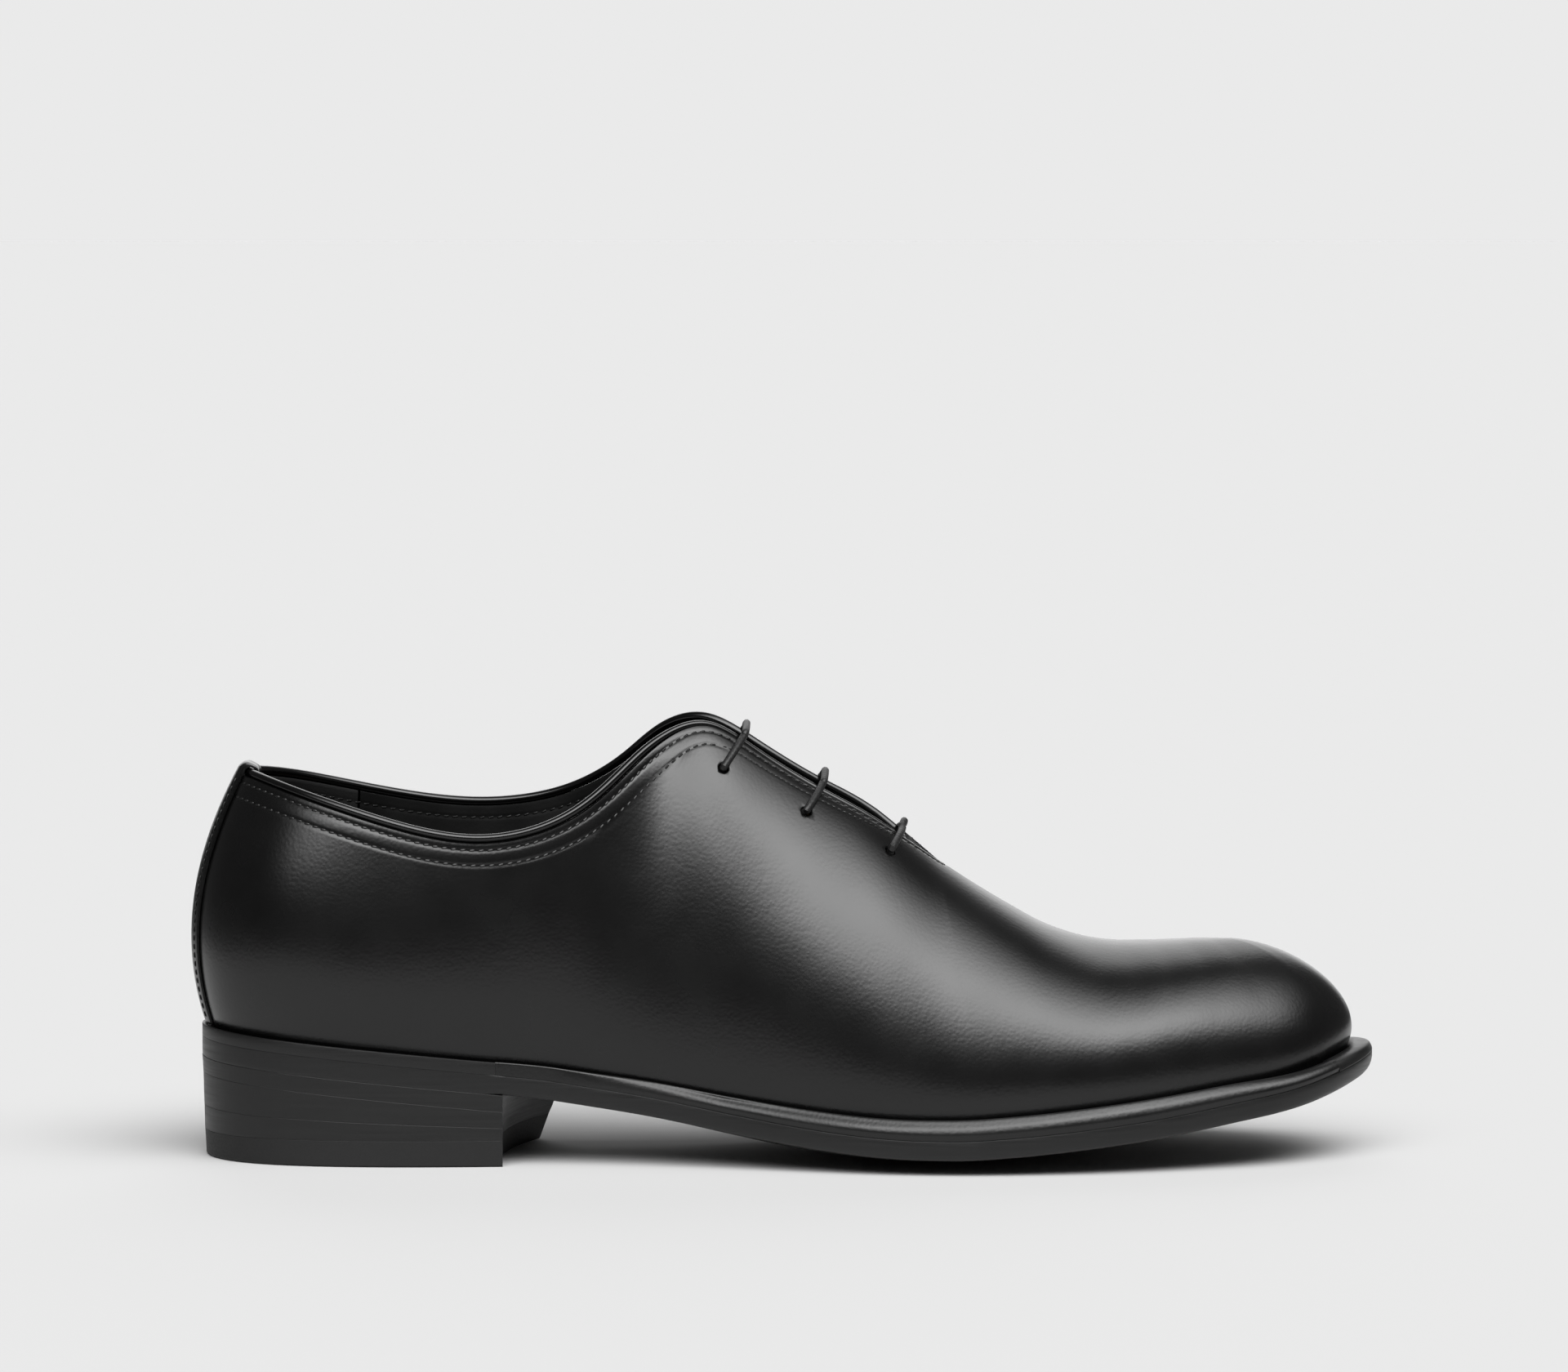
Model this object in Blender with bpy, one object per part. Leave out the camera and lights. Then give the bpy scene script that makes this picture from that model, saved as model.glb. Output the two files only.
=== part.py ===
"""A right-foot wholecut oxford: one-piece leather upper, three pairs of eyelets, welted sole, stacked heel.

+X points to the toe, +Y to the inner (medial) side of the foot and +Z up. The origin is on the ground, at
the middle of the shoe's length and width. Sizes below are in millimetres and become metres in add_object().

The upper is a family of ribs. Each rib is a cubic Bezier that stands on the feather line, where upper meets
sole, and ends on the top line or, in front of the throat, on the ridge. Every layer is the same surface,
moved inwards.
"""

import math

import bmesh
import bpy
import numpy as np
from mathutils import Matrix, Vector

MM = 0.001
GAP = 0.3                    # clearance between pieces that touch on the real shoe

# Upper and lining, measured inwards from the outer face of the leather.
UPPER_THICK = 1.2
LINING_THICK = 0.8
EDGE_DEPTH = 2.2             # depth of the lining at the top line and the facings
BODY_DEPTH = 3.2             # depth of the lining where a stiffener lies in front of it
STIFFENER_THICK = 1.3
BACKER_THICK = 0.5
STAY_THICK = 0.4

# Bottom stock, measured downwards from the feather line.
INSOLE_TOP = -0.9
INSOLE_BOTTOM = 0.5
INSOLE_INSET = 2.0
SOCK_THICK = 0.8
PAD_THICK = 3.0
MARGIN_DEPTH = 2.1
MARGIN_WIDTH = 11.0
WELT_TOP = 0.2
WELT_TONGUE_TOP = 2.4        # the thin inner part of the welt, under the lasting margin
WELT_END = 5.15              # the welt stops and the heel's rand starts at this station
WELT_BOTTOM = 3.3
OUTSOLE_TOP = 3.6
OUTSOLE_BOTTOM = 8.4
SOLE_CROWN = 3.68            # how far the middle of the tread hangs below its edges

HEEL_BREAST_X = -70.3        # outer corner of the heel breast
BREAST_SKEW = 7.4            # how far forward its inner corner is at the ground
BREAST_LEAN = 6.3            # how much further forward that corner is at the top of the heel
HEEL_LEAN = 1.0              # how much the back of the heel leans in at the ground
HEEL_HEIGHT = 17.4           # at the breast
BREAST_HOLLOW = 4.0          # how far its middle is scooped back
TOP_PIECE = 6.5              # rubber, on the ground
NAIL_R = 0.9
NAILS = ((-128.0, 0.0), (-117.0, -14.0), (-117.0, 14.0), (-92.0, -15.0), (-92.0, 14.0))

LACE_R = 1.0
EYELET_R = 1.6
EYELET_WALL = 0.5
EYELET_FLANGE_R = 3.0
LACE_INSIDE_DEPTH = 5.2      # of the lace's centre, where it runs under the facings
LACE_OUTSIDE_HEIGHT = 1.4    # of the lace's centre, where it lies on the upper
TAIL_DEPTH = 5.5             # of the lace's centre, where its ends hang inside the quarters
TIP_R = 1.2
TIP_LENGTH = 14.0
TONGUE_DEPTH = 6.6
TONGUE_THICK = 1.2
TONGUE_SEWN_AT = 14.3        # station of the tongue's lower end
TONGUE_OVERHANG = 9.0
SOCK_INSET = 4.8
HEEL_SEAT_SLOPE = 0.0957
NAIL_END = 8.0               # height of the heel nails' points

# Feather line: x, y on the outer side, then x, y on the inner side, from the heel to the toe.
FEATHER = (
    (-145.5, 0.0, -145.5, 0.0),
    (-141.5, -13.5, -141.5, 13.5),
    (-130.0, -23.0, -130.0, 23.0),
    (-113.0, -27.6, -113.0, 27.8),
    (-94.0, -28.8, -94.0, 28.4),
    (-75.0, -28.0, -75.0, 25.8),
    (-58.0, -26.8, -58.0, 22.0),
    (-44.0, -27.0, -44.0, 20.0),
    (-32.0, -28.4, -32.0, 19.6),
    (-20.0, -30.6, -20.0, 20.8),
    (-7.0, -33.7, -7.0, 23.8),
    (6.0, -37.2, 6.0, 28.0),
    (20.0, -40.8, 20.0, 33.4),
    (34.0, -43.2, 34.0, 38.8),
    (49.0, -44.0, 49.0, 42.8),
    (64.0, -43.2, 64.0, 44.2),
    (80.0, -41.2, 80.0, 43.2),
    (97.0, -37.2, 96.5, 40.2),
    (114.0, -31.4, 113.5, 34.4),
    (129.0, -23.6, 128.5, 26.8),
    (139.4, -12.0, 139.2, 16.4),
    (143.8, 2.5, 143.8, 2.5),
)
# Top line and facing edge, as far as the throat: x, y, z on the outer side, then on the inner side.
EDGE = (
    (-137.6, 0.0, 96.9, -137.6, 0.0, 96.9),
    (-134.0, -9.5, 96.0, -134.0, 9.5, 96.4),
    (-124.0, -18.5, 93.0, -124.0, 18.8, 94.4),
    (-109.5, -24.8, 88.4, -109.5, 25.0, 90.9),
    (-92.0, -27.6, 83.4, -92.0, 27.5, 87.6),
    (-75.5, -28.2, 81.3, -75.5, 27.6, 86.5),
    (-60.5, -27.2, 83.9, -60.5, 26.2, 88.4),
    (-48.5, -23.8, 90.0, -48.5, 22.9, 92.9),
    (-38.8, -18.8, 98.4, -38.8, 18.0, 99.6),
    (-30.0, -13.2, 106.0, -30.0, 13.0, 107.4),
    (-19.0, -8.6, 109.4, -19.0, 8.2, 110.5),
    (-6.0, -6.0, 102.4, -6.0, 4.8, 104.1),
    (9.0, -5.4, 93.3, 9.0, 4.2, 95.2),
    (24.0, -4.8, 85.1, 24.0, 3.8, 86.8),
    (39.5, -0.6, 74.5, 39.5, -0.6, 74.5),
)
# Where the ribs in front of the throat meet the ridge: station, x and y.
RIDGE_PLACE = (
    (14.0, 39.5, -0.6), (15.0, 57.0, 1.0), (16.0, 76.0, 1.8), (17.0, 92.0, 2.3), (18.0, 103.0, 2.5),
    (19.0, 110.0, 2.5), (20.0, 113.0, 2.5), (21.0, 113.0, 2.5),
)
RIDGE_HEIGHT = (
    (-20.0, 112.0), (0.0, 100.0), (20.0, 87.8), (30.0, 81.2), (39.5, 74.5), (48.0, 68.9),
    (57.0, 63.4), (66.0, 58.4), (76.0, 54.9), (84.0, 53.7),
    (92.0, 53.6), (100.0, 53.9), (107.0, 54.2), (113.0, 54.2), (116.0, 53.9),
)
# How each rib leaves the feather line (outwards, upwards) and reaches its top (from outwards, from below).
SWELL = (
    (7.5, 22.0, 10.5, 20.0),
    (7.5, 22.0, 10.0, 20.0),
    (7.5, 22.0, 9.0, 20.0),
    (6.5, 19.0, 5.5, 19.0),
    (5.5, 17.0, 4.0, 18.5),
    (4.8, 16.5, 3.0, 18.5),
    (4.1, 17.0, 3.0, 18.5),
    (3.5, 19.5, 4.0, 20.0),
    (3.4, 24.0, 6.5, 22.0),
    (3.4, 30.0, 10.2, 19.5),
    (3.7, 30.0, 15.0, 12.5),
    (4.2, 28.0, 18.5, 8.3),
    (4.6, 26.0, 21.0, 7.3),
    (5.0, 24.0, 23.0, 6.5),
    (5.3, 21.0, 27.5, 4.0),
    (5.1, 19.5, 31.5, 1.5),
    (4.5, 18.0, 32.0, 0.5),
    (3.8, 16.5, 30.0, 0.0),
    (3.4, 14.3, 25.0, 0.0),
    (3.7, 12.4, 20.5, 0.0),
    (4.4, 12.0, 17.2, 0.0),
    (5.5, 12.0, 17.0, 0.0),
)
STATIONS = len(FEATHER) - 1          # the toe's station; the heel's is 0
THROAT = 14                          # station where the two facings meet
# Height of the feather line along the shoe: a straight heel seat, the waist, the ball and the toe spring.
FEATHER_HEIGHT = (
    (-150.0, 33.9), (-80.0, 27.2), (-62.0, 25.4), (-50.0, 23.6), (-33.0, 21.0), (-12.0, 17.2),
    (8.0, 14.2), (26.0, 12.5), (42.0, 12.15), (58.0, 13.0), (76.0, 14.8), (94.0, 17.1), (112.0, 20.2),
    (130.0, 23.5), (145.0, 28.0), (153.0, 30.6),
)
# How far the sole stands out past the feather line.
SOLE_EXTENSION = (
    (-150.0, 2.2), (-130.0, 2.3), (-75.0, 2.2), (-35.0, 3.0), (10.0, 4.4), (50.0, 5.0), (110.0, 5.4),
    (145.0, 6.2),
)
# How far the welt's bead stands up past the feather line.
BEAD_RISE = ((-75.0, 0.0), (-20.0, 0.8), (20.0, 1.5), (60.0, 1.9), (105.0, 1.7), (128.0, 0.6), (145.0, 0.2))

EYELETS = (("front", 26.8), ("middle", 5.7), ("back", -15.1))   # name, x of the hole's centre
EYELET_FROM_EDGE = 11.5

COLOURS = {
    "upper_leather": (0.012, 0.012, 0.013, 0.32, 0.0),
    "binding_leather": (0.010, 0.010, 0.011, 0.22, 0.0),
    "lining_leather": (0.018, 0.017, 0.017, 0.60, 0.0),
    "stiffener": (0.45, 0.36, 0.26, 0.80, 0.0),
    "backer_cloth": (0.60, 0.58, 0.52, 0.95, 0.0),
    "insole_leather": (0.50, 0.34, 0.20, 0.70, 0.0),
    "sole_leather": (0.016, 0.015, 0.015, 0.40, 0.0),
    "cork": (0.36, 0.22, 0.11, 0.95, 0.0),
    "rubber": (0.014, 0.014, 0.014, 0.65, 0.0),
    "steel": (0.55, 0.55, 0.56, 0.35, 1.0),
    "brass": (0.60, 0.44, 0.18, 0.30, 1.0),
    "welt_leather": (0.013, 0.013, 0.014, 0.34, 0.0),
    "lace_cotton": (0.014, 0.014, 0.015, 0.55, 0.0),
    "lace_tip_resin": (0.010, 0.010, 0.010, 0.20, 0.0),
}


# ---------------------------------------------------------------- curves through the tables

def closed_spline(rows, at):
    """Cubic spline with a continuous bend through closed rows, read at positions `at`, counted in rows."""
    rows = np.asarray(rows, float)
    count = len(rows)
    system = 4.0 * np.eye(count) + np.roll(np.eye(count), 1, 1) + np.roll(np.eye(count), -1, 1)
    slope = np.linalg.solve(system, 3.0 * (np.roll(rows, -1, 0) - np.roll(rows, 1, 0)))
    at = np.mod(np.asarray(at, float), count)
    low = np.floor(at).astype(int) % count
    high = (low + 1) % count
    f = (at - np.floor(at))[:, None]
    return (rows[low] * (2 * f**3 - 3 * f**2 + 1) + rows[high] * (3 * f**2 - 2 * f**3)
            + slope[low] * (f**3 - 2 * f**2 + f) + slope[high] * (f**3 - f**2))


def open_curve(knots, x):
    """Monotone smooth curve through (x, value) knots, which doesn't overshoot between them."""
    kx, kv = np.array(knots, float).T
    x = np.clip(np.asarray(x, float), kx[0], kx[-1])
    step = np.diff(kv) / np.diff(kx)
    slope = np.concatenate([[step[0]], (step[1:] + step[:-1]) / 2, [step[-1]]])
    turn = np.concatenate([[False], step[1:] * step[:-1] <= 0, [False]])
    slope[turn] = 0.0
    i = np.clip(np.searchsorted(kx, x) - 1, 0, len(kx) - 2)
    h = kx[i + 1] - kx[i]
    f = (x - kx[i]) / h
    return (kv[i] * (2 * f**3 - 3 * f**2 + 1) + kv[i + 1] * (3 * f**2 - 2 * f**3)
            + h * (slope[i] * (f**3 - 2 * f**2 + f) + slope[i + 1] * (f**3 - f**2)))


def feather_height(x):
    return open_curve(FEATHER_HEIGHT, x)


def around(table, width):
    """A table's outer-side rows from heel to toe, then its inner-side rows back to the heel, as one loop."""
    outer = [row[:width] for row in table]
    inner = [row[-width:] for row in table[-2:0:-1]]
    return outer + inner


def mirror(s):
    """The place on the other side of the shoe that faces place s."""
    return -np.asarray(s, float)


def feather_plan(s):
    """Feather line points (x, y) and their outward unit normals at places s. Positive s is the outer side."""
    loop = around(FEATHER, 2)
    s = np.asarray(s, float)
    point = closed_spline(loop, s)
    ahead = closed_spline(loop, s + 0.01) - closed_spline(loop, s - 0.01)
    ahead /= np.linalg.norm(ahead, axis=1)[:, None]
    return point, np.stack([ahead[:, 1], -ahead[:, 0]], axis=1)


def station(s):
    """How far around from the heel a place is, on either side: 0 at the heel and STATIONS at the toe."""
    return np.abs((np.asarray(s, float) + STATIONS) % (2 * STATIONS) - STATIONS)


def ridge_slope(x):
    return open_curve(RIDGE_HEIGHT, x + 0.5) - open_curve(RIDGE_HEIGHT, x - 0.5)


def rib_tops(s):
    """Top ends of the ribs. In front of the throat both sides share the ridge."""
    s = np.asarray(s, float)
    at = station(s)
    edge_loop = around(EDGE + EDGE[-1:] * (STATIONS + 1 - len(EDGE)), 3)
    top = closed_spline(edge_loop, s)
    joined = at >= THROAT - 1e-6
    x = open_curve([row[:2] for row in RIDGE_PLACE], at)
    y = open_curve([(row[0], row[2]) for row in RIDGE_PLACE], at)
    ridge = np.column_stack([x, y, open_curve(RIDGE_HEIGHT, x)])
    top[joined] = ridge[joined]
    return top


def surface(s, t):
    """Outer face of the upper: points for every place in s (rows) and every height t from 0 to 1."""
    plan, normal = feather_plan(s)
    foot = np.column_stack([plan, feather_height(plan[:, 0])])
    top = rib_tops(s)
    swell = closed_spline(around(SWELL, 4), s)
    out = np.column_stack([normal, np.zeros(len(normal))])
    up = np.array([0.0, 0.0, 1.0])
    arrive = out.copy()
    arrive[:, 2] = np.where(station(s) >= THROAT, ridge_slope(top[:, 0]) * out[:, 0], 0.0)
    low = foot + out * swell[:, 0:1] + up * swell[:, 1:2]
    high = top + arrive * swell[:, 2:3] - up * swell[:, 3:4]
    t = np.asarray(t, float)[None, :, None]
    return (foot[:, None] * (1 - t)**3 + 3 * low[:, None] * t * (1 - t)**2
            + 3 * high[:, None] * t**2 * (1 - t) + top[:, None] * t**3)


def normals(s, t):
    """Outward unit normals of the surface. On the ridge, and at the throat, both sides share one normal."""
    s = np.asarray(s, float)
    inside = np.clip(np.asarray(t, float), 0.02, 0.985)
    along = surface(s + 0.05, inside) - surface(s - 0.05, inside)
    rising = surface(s, inside + 0.01) - surface(s, inside - 0.01)
    n = np.cross(along, rising)
    n /= np.linalg.norm(n, axis=2)[..., None]
    slope = ridge_slope(rib_tops(s)[:, 0])
    ridge = np.column_stack([-slope, np.zeros(len(s)), np.ones(len(s))])
    ridge /= np.linalg.norm(ridge, axis=1)[:, None]
    share = np.clip(station(s) - THROAT + 1, 0, 1)[:, None] * (np.asarray(t) > 0.999)[None, :]
    n += (ridge[:, None] - n) * share[..., None]
    return n / np.linalg.norm(n, axis=2)[..., None]


# ---------------------------------------------------------------- Blender helpers

def material(name):
    found = bpy.data.materials.get(name)
    if found:
        return found
    red, green, blue, roughness, metallic = COLOURS[name]
    made = bpy.data.materials.new(name)
    made.use_nodes = True
    shader = made.node_tree.nodes["Principled BSDF"]
    shader.inputs["Base Color"].default_value = (red, green, blue, 1.0)
    shader.inputs["Roughness"].default_value = roughness
    shader.inputs["Metallic"].default_value = metallic
    return made


def add_object(name, bm, finish, parent=None):
    """Turns a bmesh in millimetres into a named object in metres, with its faces pointing out."""
    bmesh.ops.remove_doubles(bm, verts=bm.verts, dist=0.002)
    bmesh.ops.recalc_face_normals(bm, faces=bm.faces)
    bmesh.ops.scale(bm, vec=(MM, MM, MM), verts=bm.verts)
    mesh = bpy.data.meshes.new(name)
    bm.to_mesh(mesh)
    bm.free()
    mesh.materials.append(material(finish))
    mesh.shade_smooth()
    mesh.set_sharp_from_angle(angle=math.radians(40))
    made = bpy.data.objects.new(name, mesh)
    bpy.context.scene.collection.objects.link(made)
    if parent:
        made.parent = parent
        made.matrix_parent_inverse = Matrix.Translation(-parent.location)
    return made


def skin(name, outer, inner, finish, closed=False, parent=None):
    """A closed body between two grids of the same size: an outer and an inner sheet and walls around them."""
    bm = bmesh.new()
    both = [[[bm.verts.new(Vector(p)) for p in row] for row in grid] for grid in (outer, inner)]
    count, width = len(outer), len(outer[0])
    welded = {}

    def quad(a, b, c, d):
        for corners in ((a, b, c), (a, c, d)):
            if len(set(corners)) == 3:
                bm.faces.new(corners)

    # Points that coincide, as on the ridge and at the toe's crown, become one before the faces are made.
    for layer in range(2):
        for row in both[layer]:
            for i, vert in enumerate(row):
                key = (layer, *(round(c, 3) for c in vert.co))
                row[i] = welded.setdefault(key, vert)
    used = {vert for layer in both for row in layer for vert in row}
    for vert in [v for v in bm.verts if v not in used]:
        bm.verts.remove(vert)
    steps = range(count if closed else count - 1)
    for r in steps:
        a, b = both[0][r], both[0][(r + 1) % count]
        c, d = both[1][r], both[1][(r + 1) % count]
        for i in range(width - 1):
            quad(a[i], b[i], b[i + 1], a[i + 1])
            quad(c[i], c[i + 1], d[i + 1], d[i])
    partner = {}
    for row_out, row_in in zip(*both):
        for vert_out, vert_in in zip(row_out, row_in):
            partner[vert_out] = vert_in
    rims = [e for e in bm.edges if len(e.link_faces) == 1 and e.verts[0] in partner and e.verts[1] in partner]
    for edge in rims:
        a, b = edge.verts
        quad(a, b, partner[b], partner[a])
    return add_object(name, bm, finish, parent)


def layer_points(s, t, depth):
    """Surface points moved inwards by depth, which may differ from point to point."""
    return surface(s, t) - normals(s, t) * np.broadcast_to(depth, (len(s), len(t)))[..., None]


def patch(name, s, t, depth, thick, finish, foot=0.27, head=0.0):
    """A sheet of the given thickness, at that depth below the upper's outer face.

    It stops short of its lowest and highest rows by these shares of the way to the next row.
    """
    grids = []
    for extra in (0.0, thick):
        grid = layer_points(s, t, np.broadcast_to(depth, (len(s), len(t))) + extra)
        grid[:, 0] += (grid[:, 1] - grid[:, 0]) * foot
        grid[:, -1] += (grid[:, -2] - grid[:, -1]) * head
        grids.append(grid)
    return skin(name, grids[0], grids[1], finish)


def cut(target, cutter_maker, *args):
    """Cuts a helper body out of target and hides the helper."""
    cutter = cutter_maker(*args)
    cutter.hide_render = True
    cutter.display_type = "WIRE"
    boolean = target.modifiers.new("Cut " + cutter.name, "BOOLEAN")
    boolean.operation = "DIFFERENCE"
    boolean.object = cutter
    boolean.solver = "EXACT"


def rod(name, centre, axis, radius, below, above, finish, sides=12):
    """A cylinder around a line through centre, from `below` behind it to `above` ahead of it along axis."""
    bm = bmesh.new()
    bmesh.ops.create_cone(bm, cap_ends=True, segments=sides, radius1=radius, radius2=radius,
                          depth=above + below)
    turn = Vector((0, 0, 1)).rotation_difference(Vector(axis)).to_matrix().to_4x4()
    shift = Matrix.Translation(Vector(centre) + Vector(axis) * (above - below) / 2)
    bmesh.ops.transform(bm, matrix=shift @ turn, verts=bm.verts)
    return add_object(name, bm, finish)


# ---------------------------------------------------------------- upper, lining and stiffeners

HEIGHTS = np.array([0.0, 0.13, 0.29, 0.46, 0.63, 0.78, 0.90, 1.0])
SIDE_GRID = np.array([0, 0.5, 1, 1.5, 2, 2.5, 3, 4, 5, 6, 7, 8, 9, 9.5, 10, 10.5, 11, 11.5, 12, 12.5, 13,
                      13.5, 14, 15, 16, 17, 17.5, 18, 18.5, 19, 19.5, 20, 20.5, 21])
GRID = np.unique(np.concatenate([turn + sign * SIDE_GRID for turn in (-42, 0, 42) for sign in (1, -1)]))
WHOLE_LOOP = GRID[(GRID >= 0) & (GRID < 2 * STATIONS)]


def span(first, last):
    """Places from first to last, on the grid that all layers share, with the two ends exactly as asked."""
    return np.concatenate([[first], GRID[(GRID > first + 0.03) & (GRID < last - 0.03)], [last]])


def lining_depth(s, t):
    """The lining lies close behind the leather at its edges, and behind a stiffener everywhere else."""
    ahead = np.clip((station(s)[:, None] - THROAT) / 1.5, 0, 1)
    below = np.clip((0.62 - np.asarray(t, float)[None, :]) / 0.12, 0, 1)
    share = np.maximum(ahead, below)
    return EDGE_DEPTH + (BODY_DEPTH - EDGE_DEPTH) * share


def margin_rows(s):
    """The lasting margin: from the feather line down past the insole's edge and in under it."""
    plan, normal = feather_plan(s)
    rows = []
    for inwards, down in ((MARGIN_WIDTH, MARGIN_DEPTH), (2.0, MARGIN_DEPTH), (0.3, 1.3)):
        moved = plan - normal * inwards
        rows.append(np.column_stack([moved, feather_height(moved[:, 0]) - down]))
    return np.stack(rows, axis=1)


def make_upper():
    s = WHOLE_LOOP
    outer = np.concatenate([margin_rows(s), surface(s, HEIGHTS)], axis=1)
    plan, normal = feather_plan(s)
    inner_margin = []
    for inwards, down in ((MARGIN_WIDTH, MARGIN_DEPTH - UPPER_THICK), (2.2, MARGIN_DEPTH - UPPER_THICK),
                          (1.35, 0.6)):
        moved = plan - normal * inwards
        inner_margin.append(np.column_stack([moved, feather_height(moved[:, 0]) - down]))
    inner = np.concatenate([np.stack(inner_margin, axis=1), layer_points(s, HEIGHTS, UPPER_THICK)], axis=1)
    upper = skin("wholecut_upper", outer, inner, "upper_leather", closed=True)
    for side, name, centre, normal_here in eyelet_places():
        cut(upper, rod, f"upper_hole_{name}_{side}", centre, normal_here, EYELET_R, 2.0, 2.0, "upper_leather")


def make_lining():
    pieces = (
        ("heel_grip_lining", span(-2.98, 2.98)),
        ("quarter_lining_outer", span(3.02, 13.7)),
        ("quarter_lining_inner", span(2 * STATIONS - 13.7, 2 * STATIONS - 3.02)),
        ("vamp_lining", span(14.02, 2 * STATIONS - 14.02)),
    )
    for name, s in pieces:
        lining = patch(name, s, HEIGHTS, lining_depth(s, HEIGHTS), LINING_THICK, "lining_leather")
        for side, which, centre, normal_here in eyelet_places():
            if name == f"quarter_lining_{side}":
                cut(lining, rod, f"lining_hole_{which}_{side}", centre, normal_here,
                    EYELET_R + EYELET_WALL + GAP, 5.0, 2.0, "lining_leather")


def make_stiffeners():
    low = HEIGHTS[:4]
    depth = UPPER_THICK + GAP
    far = 2 * STATIONS
    patch("heel_counter", span(-5.0, 5.0), low, depth, STIFFENER_THICK, "stiffener")
    patch("toe_puff", span(17.5, far - 17.5), HEIGHTS, depth, STIFFENER_THICK, "stiffener")
    patch("side_backer_outer", span(5.1, 17.0), low, depth, BACKER_THICK, "backer_cloth")
    patch("side_backer_inner", span(far - 17.0, far - 5.1), low, depth, BACKER_THICK, "backer_cloth")
    for side, s in (("outer", span(9.5, 13.5)), ("inner", span(far - 13.5, far - 9.5))):
        stay = patch(f"facing_stay_{side}", s, HEIGHTS[-3:], depth, STAY_THICK, "backer_cloth", 0.0, 0.1)
        for eyelet_side, which, centre, normal_here in eyelet_places():
            if eyelet_side == side:
                cut(stay, rod, f"stay_hole_{which}_{side}", centre, normal_here,
                    EYELET_R + EYELET_WALL + GAP, 5.0, 2.0, "backer_cloth")


def eyelet_spots():
    """Side, name, place and height of each eyelet, found by walking down the ribs from the facing's edge."""
    found = []
    heights = np.linspace(0.5, 1.0, 101)
    places = np.linspace(9.6, 14.0, 177)
    for side, sign in (("outer", 1), ("inner", -1)):
        ribs = surface(places * sign, heights)
        from_edge = np.linalg.norm(np.diff(ribs[:, ::-1], axis=1), axis=2).cumsum(axis=1)
        rows = len(heights) - 2 - (from_edge < EYELET_FROM_EDGE).sum(axis=1)
        line = ribs[np.arange(len(places)), rows]
        for name, x in EYELETS:
            i = int(np.argmin(np.abs(line[:, 0] - x)))
            found.append((side, name, places[i] * sign, heights[rows[i]]))
    return found


def eyelet_places():
    """Side, name, centre on the outer face and outward normal of each eyelet."""
    return [(side, name, tuple(surface([s], [t])[0, 0]), tuple(normals([s], [t])[0, 0]))
            for side, name, s, t in eyelet_spots()]


def make_eyelets():
    for side, name, centre, normal_here in eyelet_places():
        profile = (
            (EYELET_R, UPPER_THICK + 0.5), (EYELET_R + EYELET_WALL, UPPER_THICK + 0.5),
            (EYELET_R + EYELET_WALL, 3.5), (EYELET_FLANGE_R, 3.5), (EYELET_FLANGE_R, 3.8), (EYELET_R, 3.8),
        )
        bm = bmesh.new()
        rings = []
        turn = Vector((0, 0, 1)).rotation_difference(Vector(normal_here))
        for step in range(12):
            angle = 2 * math.pi * step / 12
            ring = []
            for radius, depth in profile:
                local = Vector((radius * math.cos(angle), radius * math.sin(angle), -depth))
                ring.append(bm.verts.new(Vector(centre) + turn @ local))
            rings.append(ring)
        for a, b in zip(rings, rings[1:] + rings[:1]):
            for i in range(len(profile)):
                j = (i + 1) % len(profile)
                bm.faces.new((a[i], b[i], b[j], a[j]))
        add_object(f"eyelet_{name}_{side}", bm, "brass")


def edge_frame(s):
    """At the top edge: halfway through the collar, the way out past the edge, and the way out of the skin."""
    edge = surface(s, [1.0])[:, 0]
    skin_out = normals(s, [1.0])[:, 0]
    s = np.asarray(s, float)
    along = surface(s + 0.05, [1.0])[:, 0] - surface(s - 0.05, [1.0])[:, 0]
    along /= np.linalg.norm(along, axis=1)[:, None]
    past = np.cross(skin_out, along)
    past /= np.linalg.norm(past, axis=1)[:, None]
    collar = EDGE_DEPTH + LINING_THICK
    return edge - skin_out * collar / 2, past, skin_out


def make_binding():
    """A rolled leather edge that runs up one facing, around the collar and down the other facing."""
    s = span(-13.45, 13.45)
    middle, past, skin_out = edge_frame(s)
    half_wide, half_high = (EDGE_DEPTH + LINING_THICK) / 2, 0.9
    bm = bmesh.new()
    rings = []
    for m, p, n in zip(middle, past, skin_out):
        ring = []
        for step in range(8):
            angle = 2 * math.pi * (step + 0.5) / 8
            at = m + p * (GAP + half_high * (1 + math.sin(angle))) + n * half_wide * math.cos(angle)
            ring.append(bm.verts.new(Vector(at)))
        rings.append(ring)
    for a, b in zip(rings, rings[1:]):
        for i in range(8):
            j = (i + 1) % 8
            bm.faces.new((a[i], b[i], b[j], a[j]))
    bm.faces.new(rings[0])
    bm.faces.new(rings[-1][::-1])
    add_object("topline_binding", bm, "binding_leather")


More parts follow.
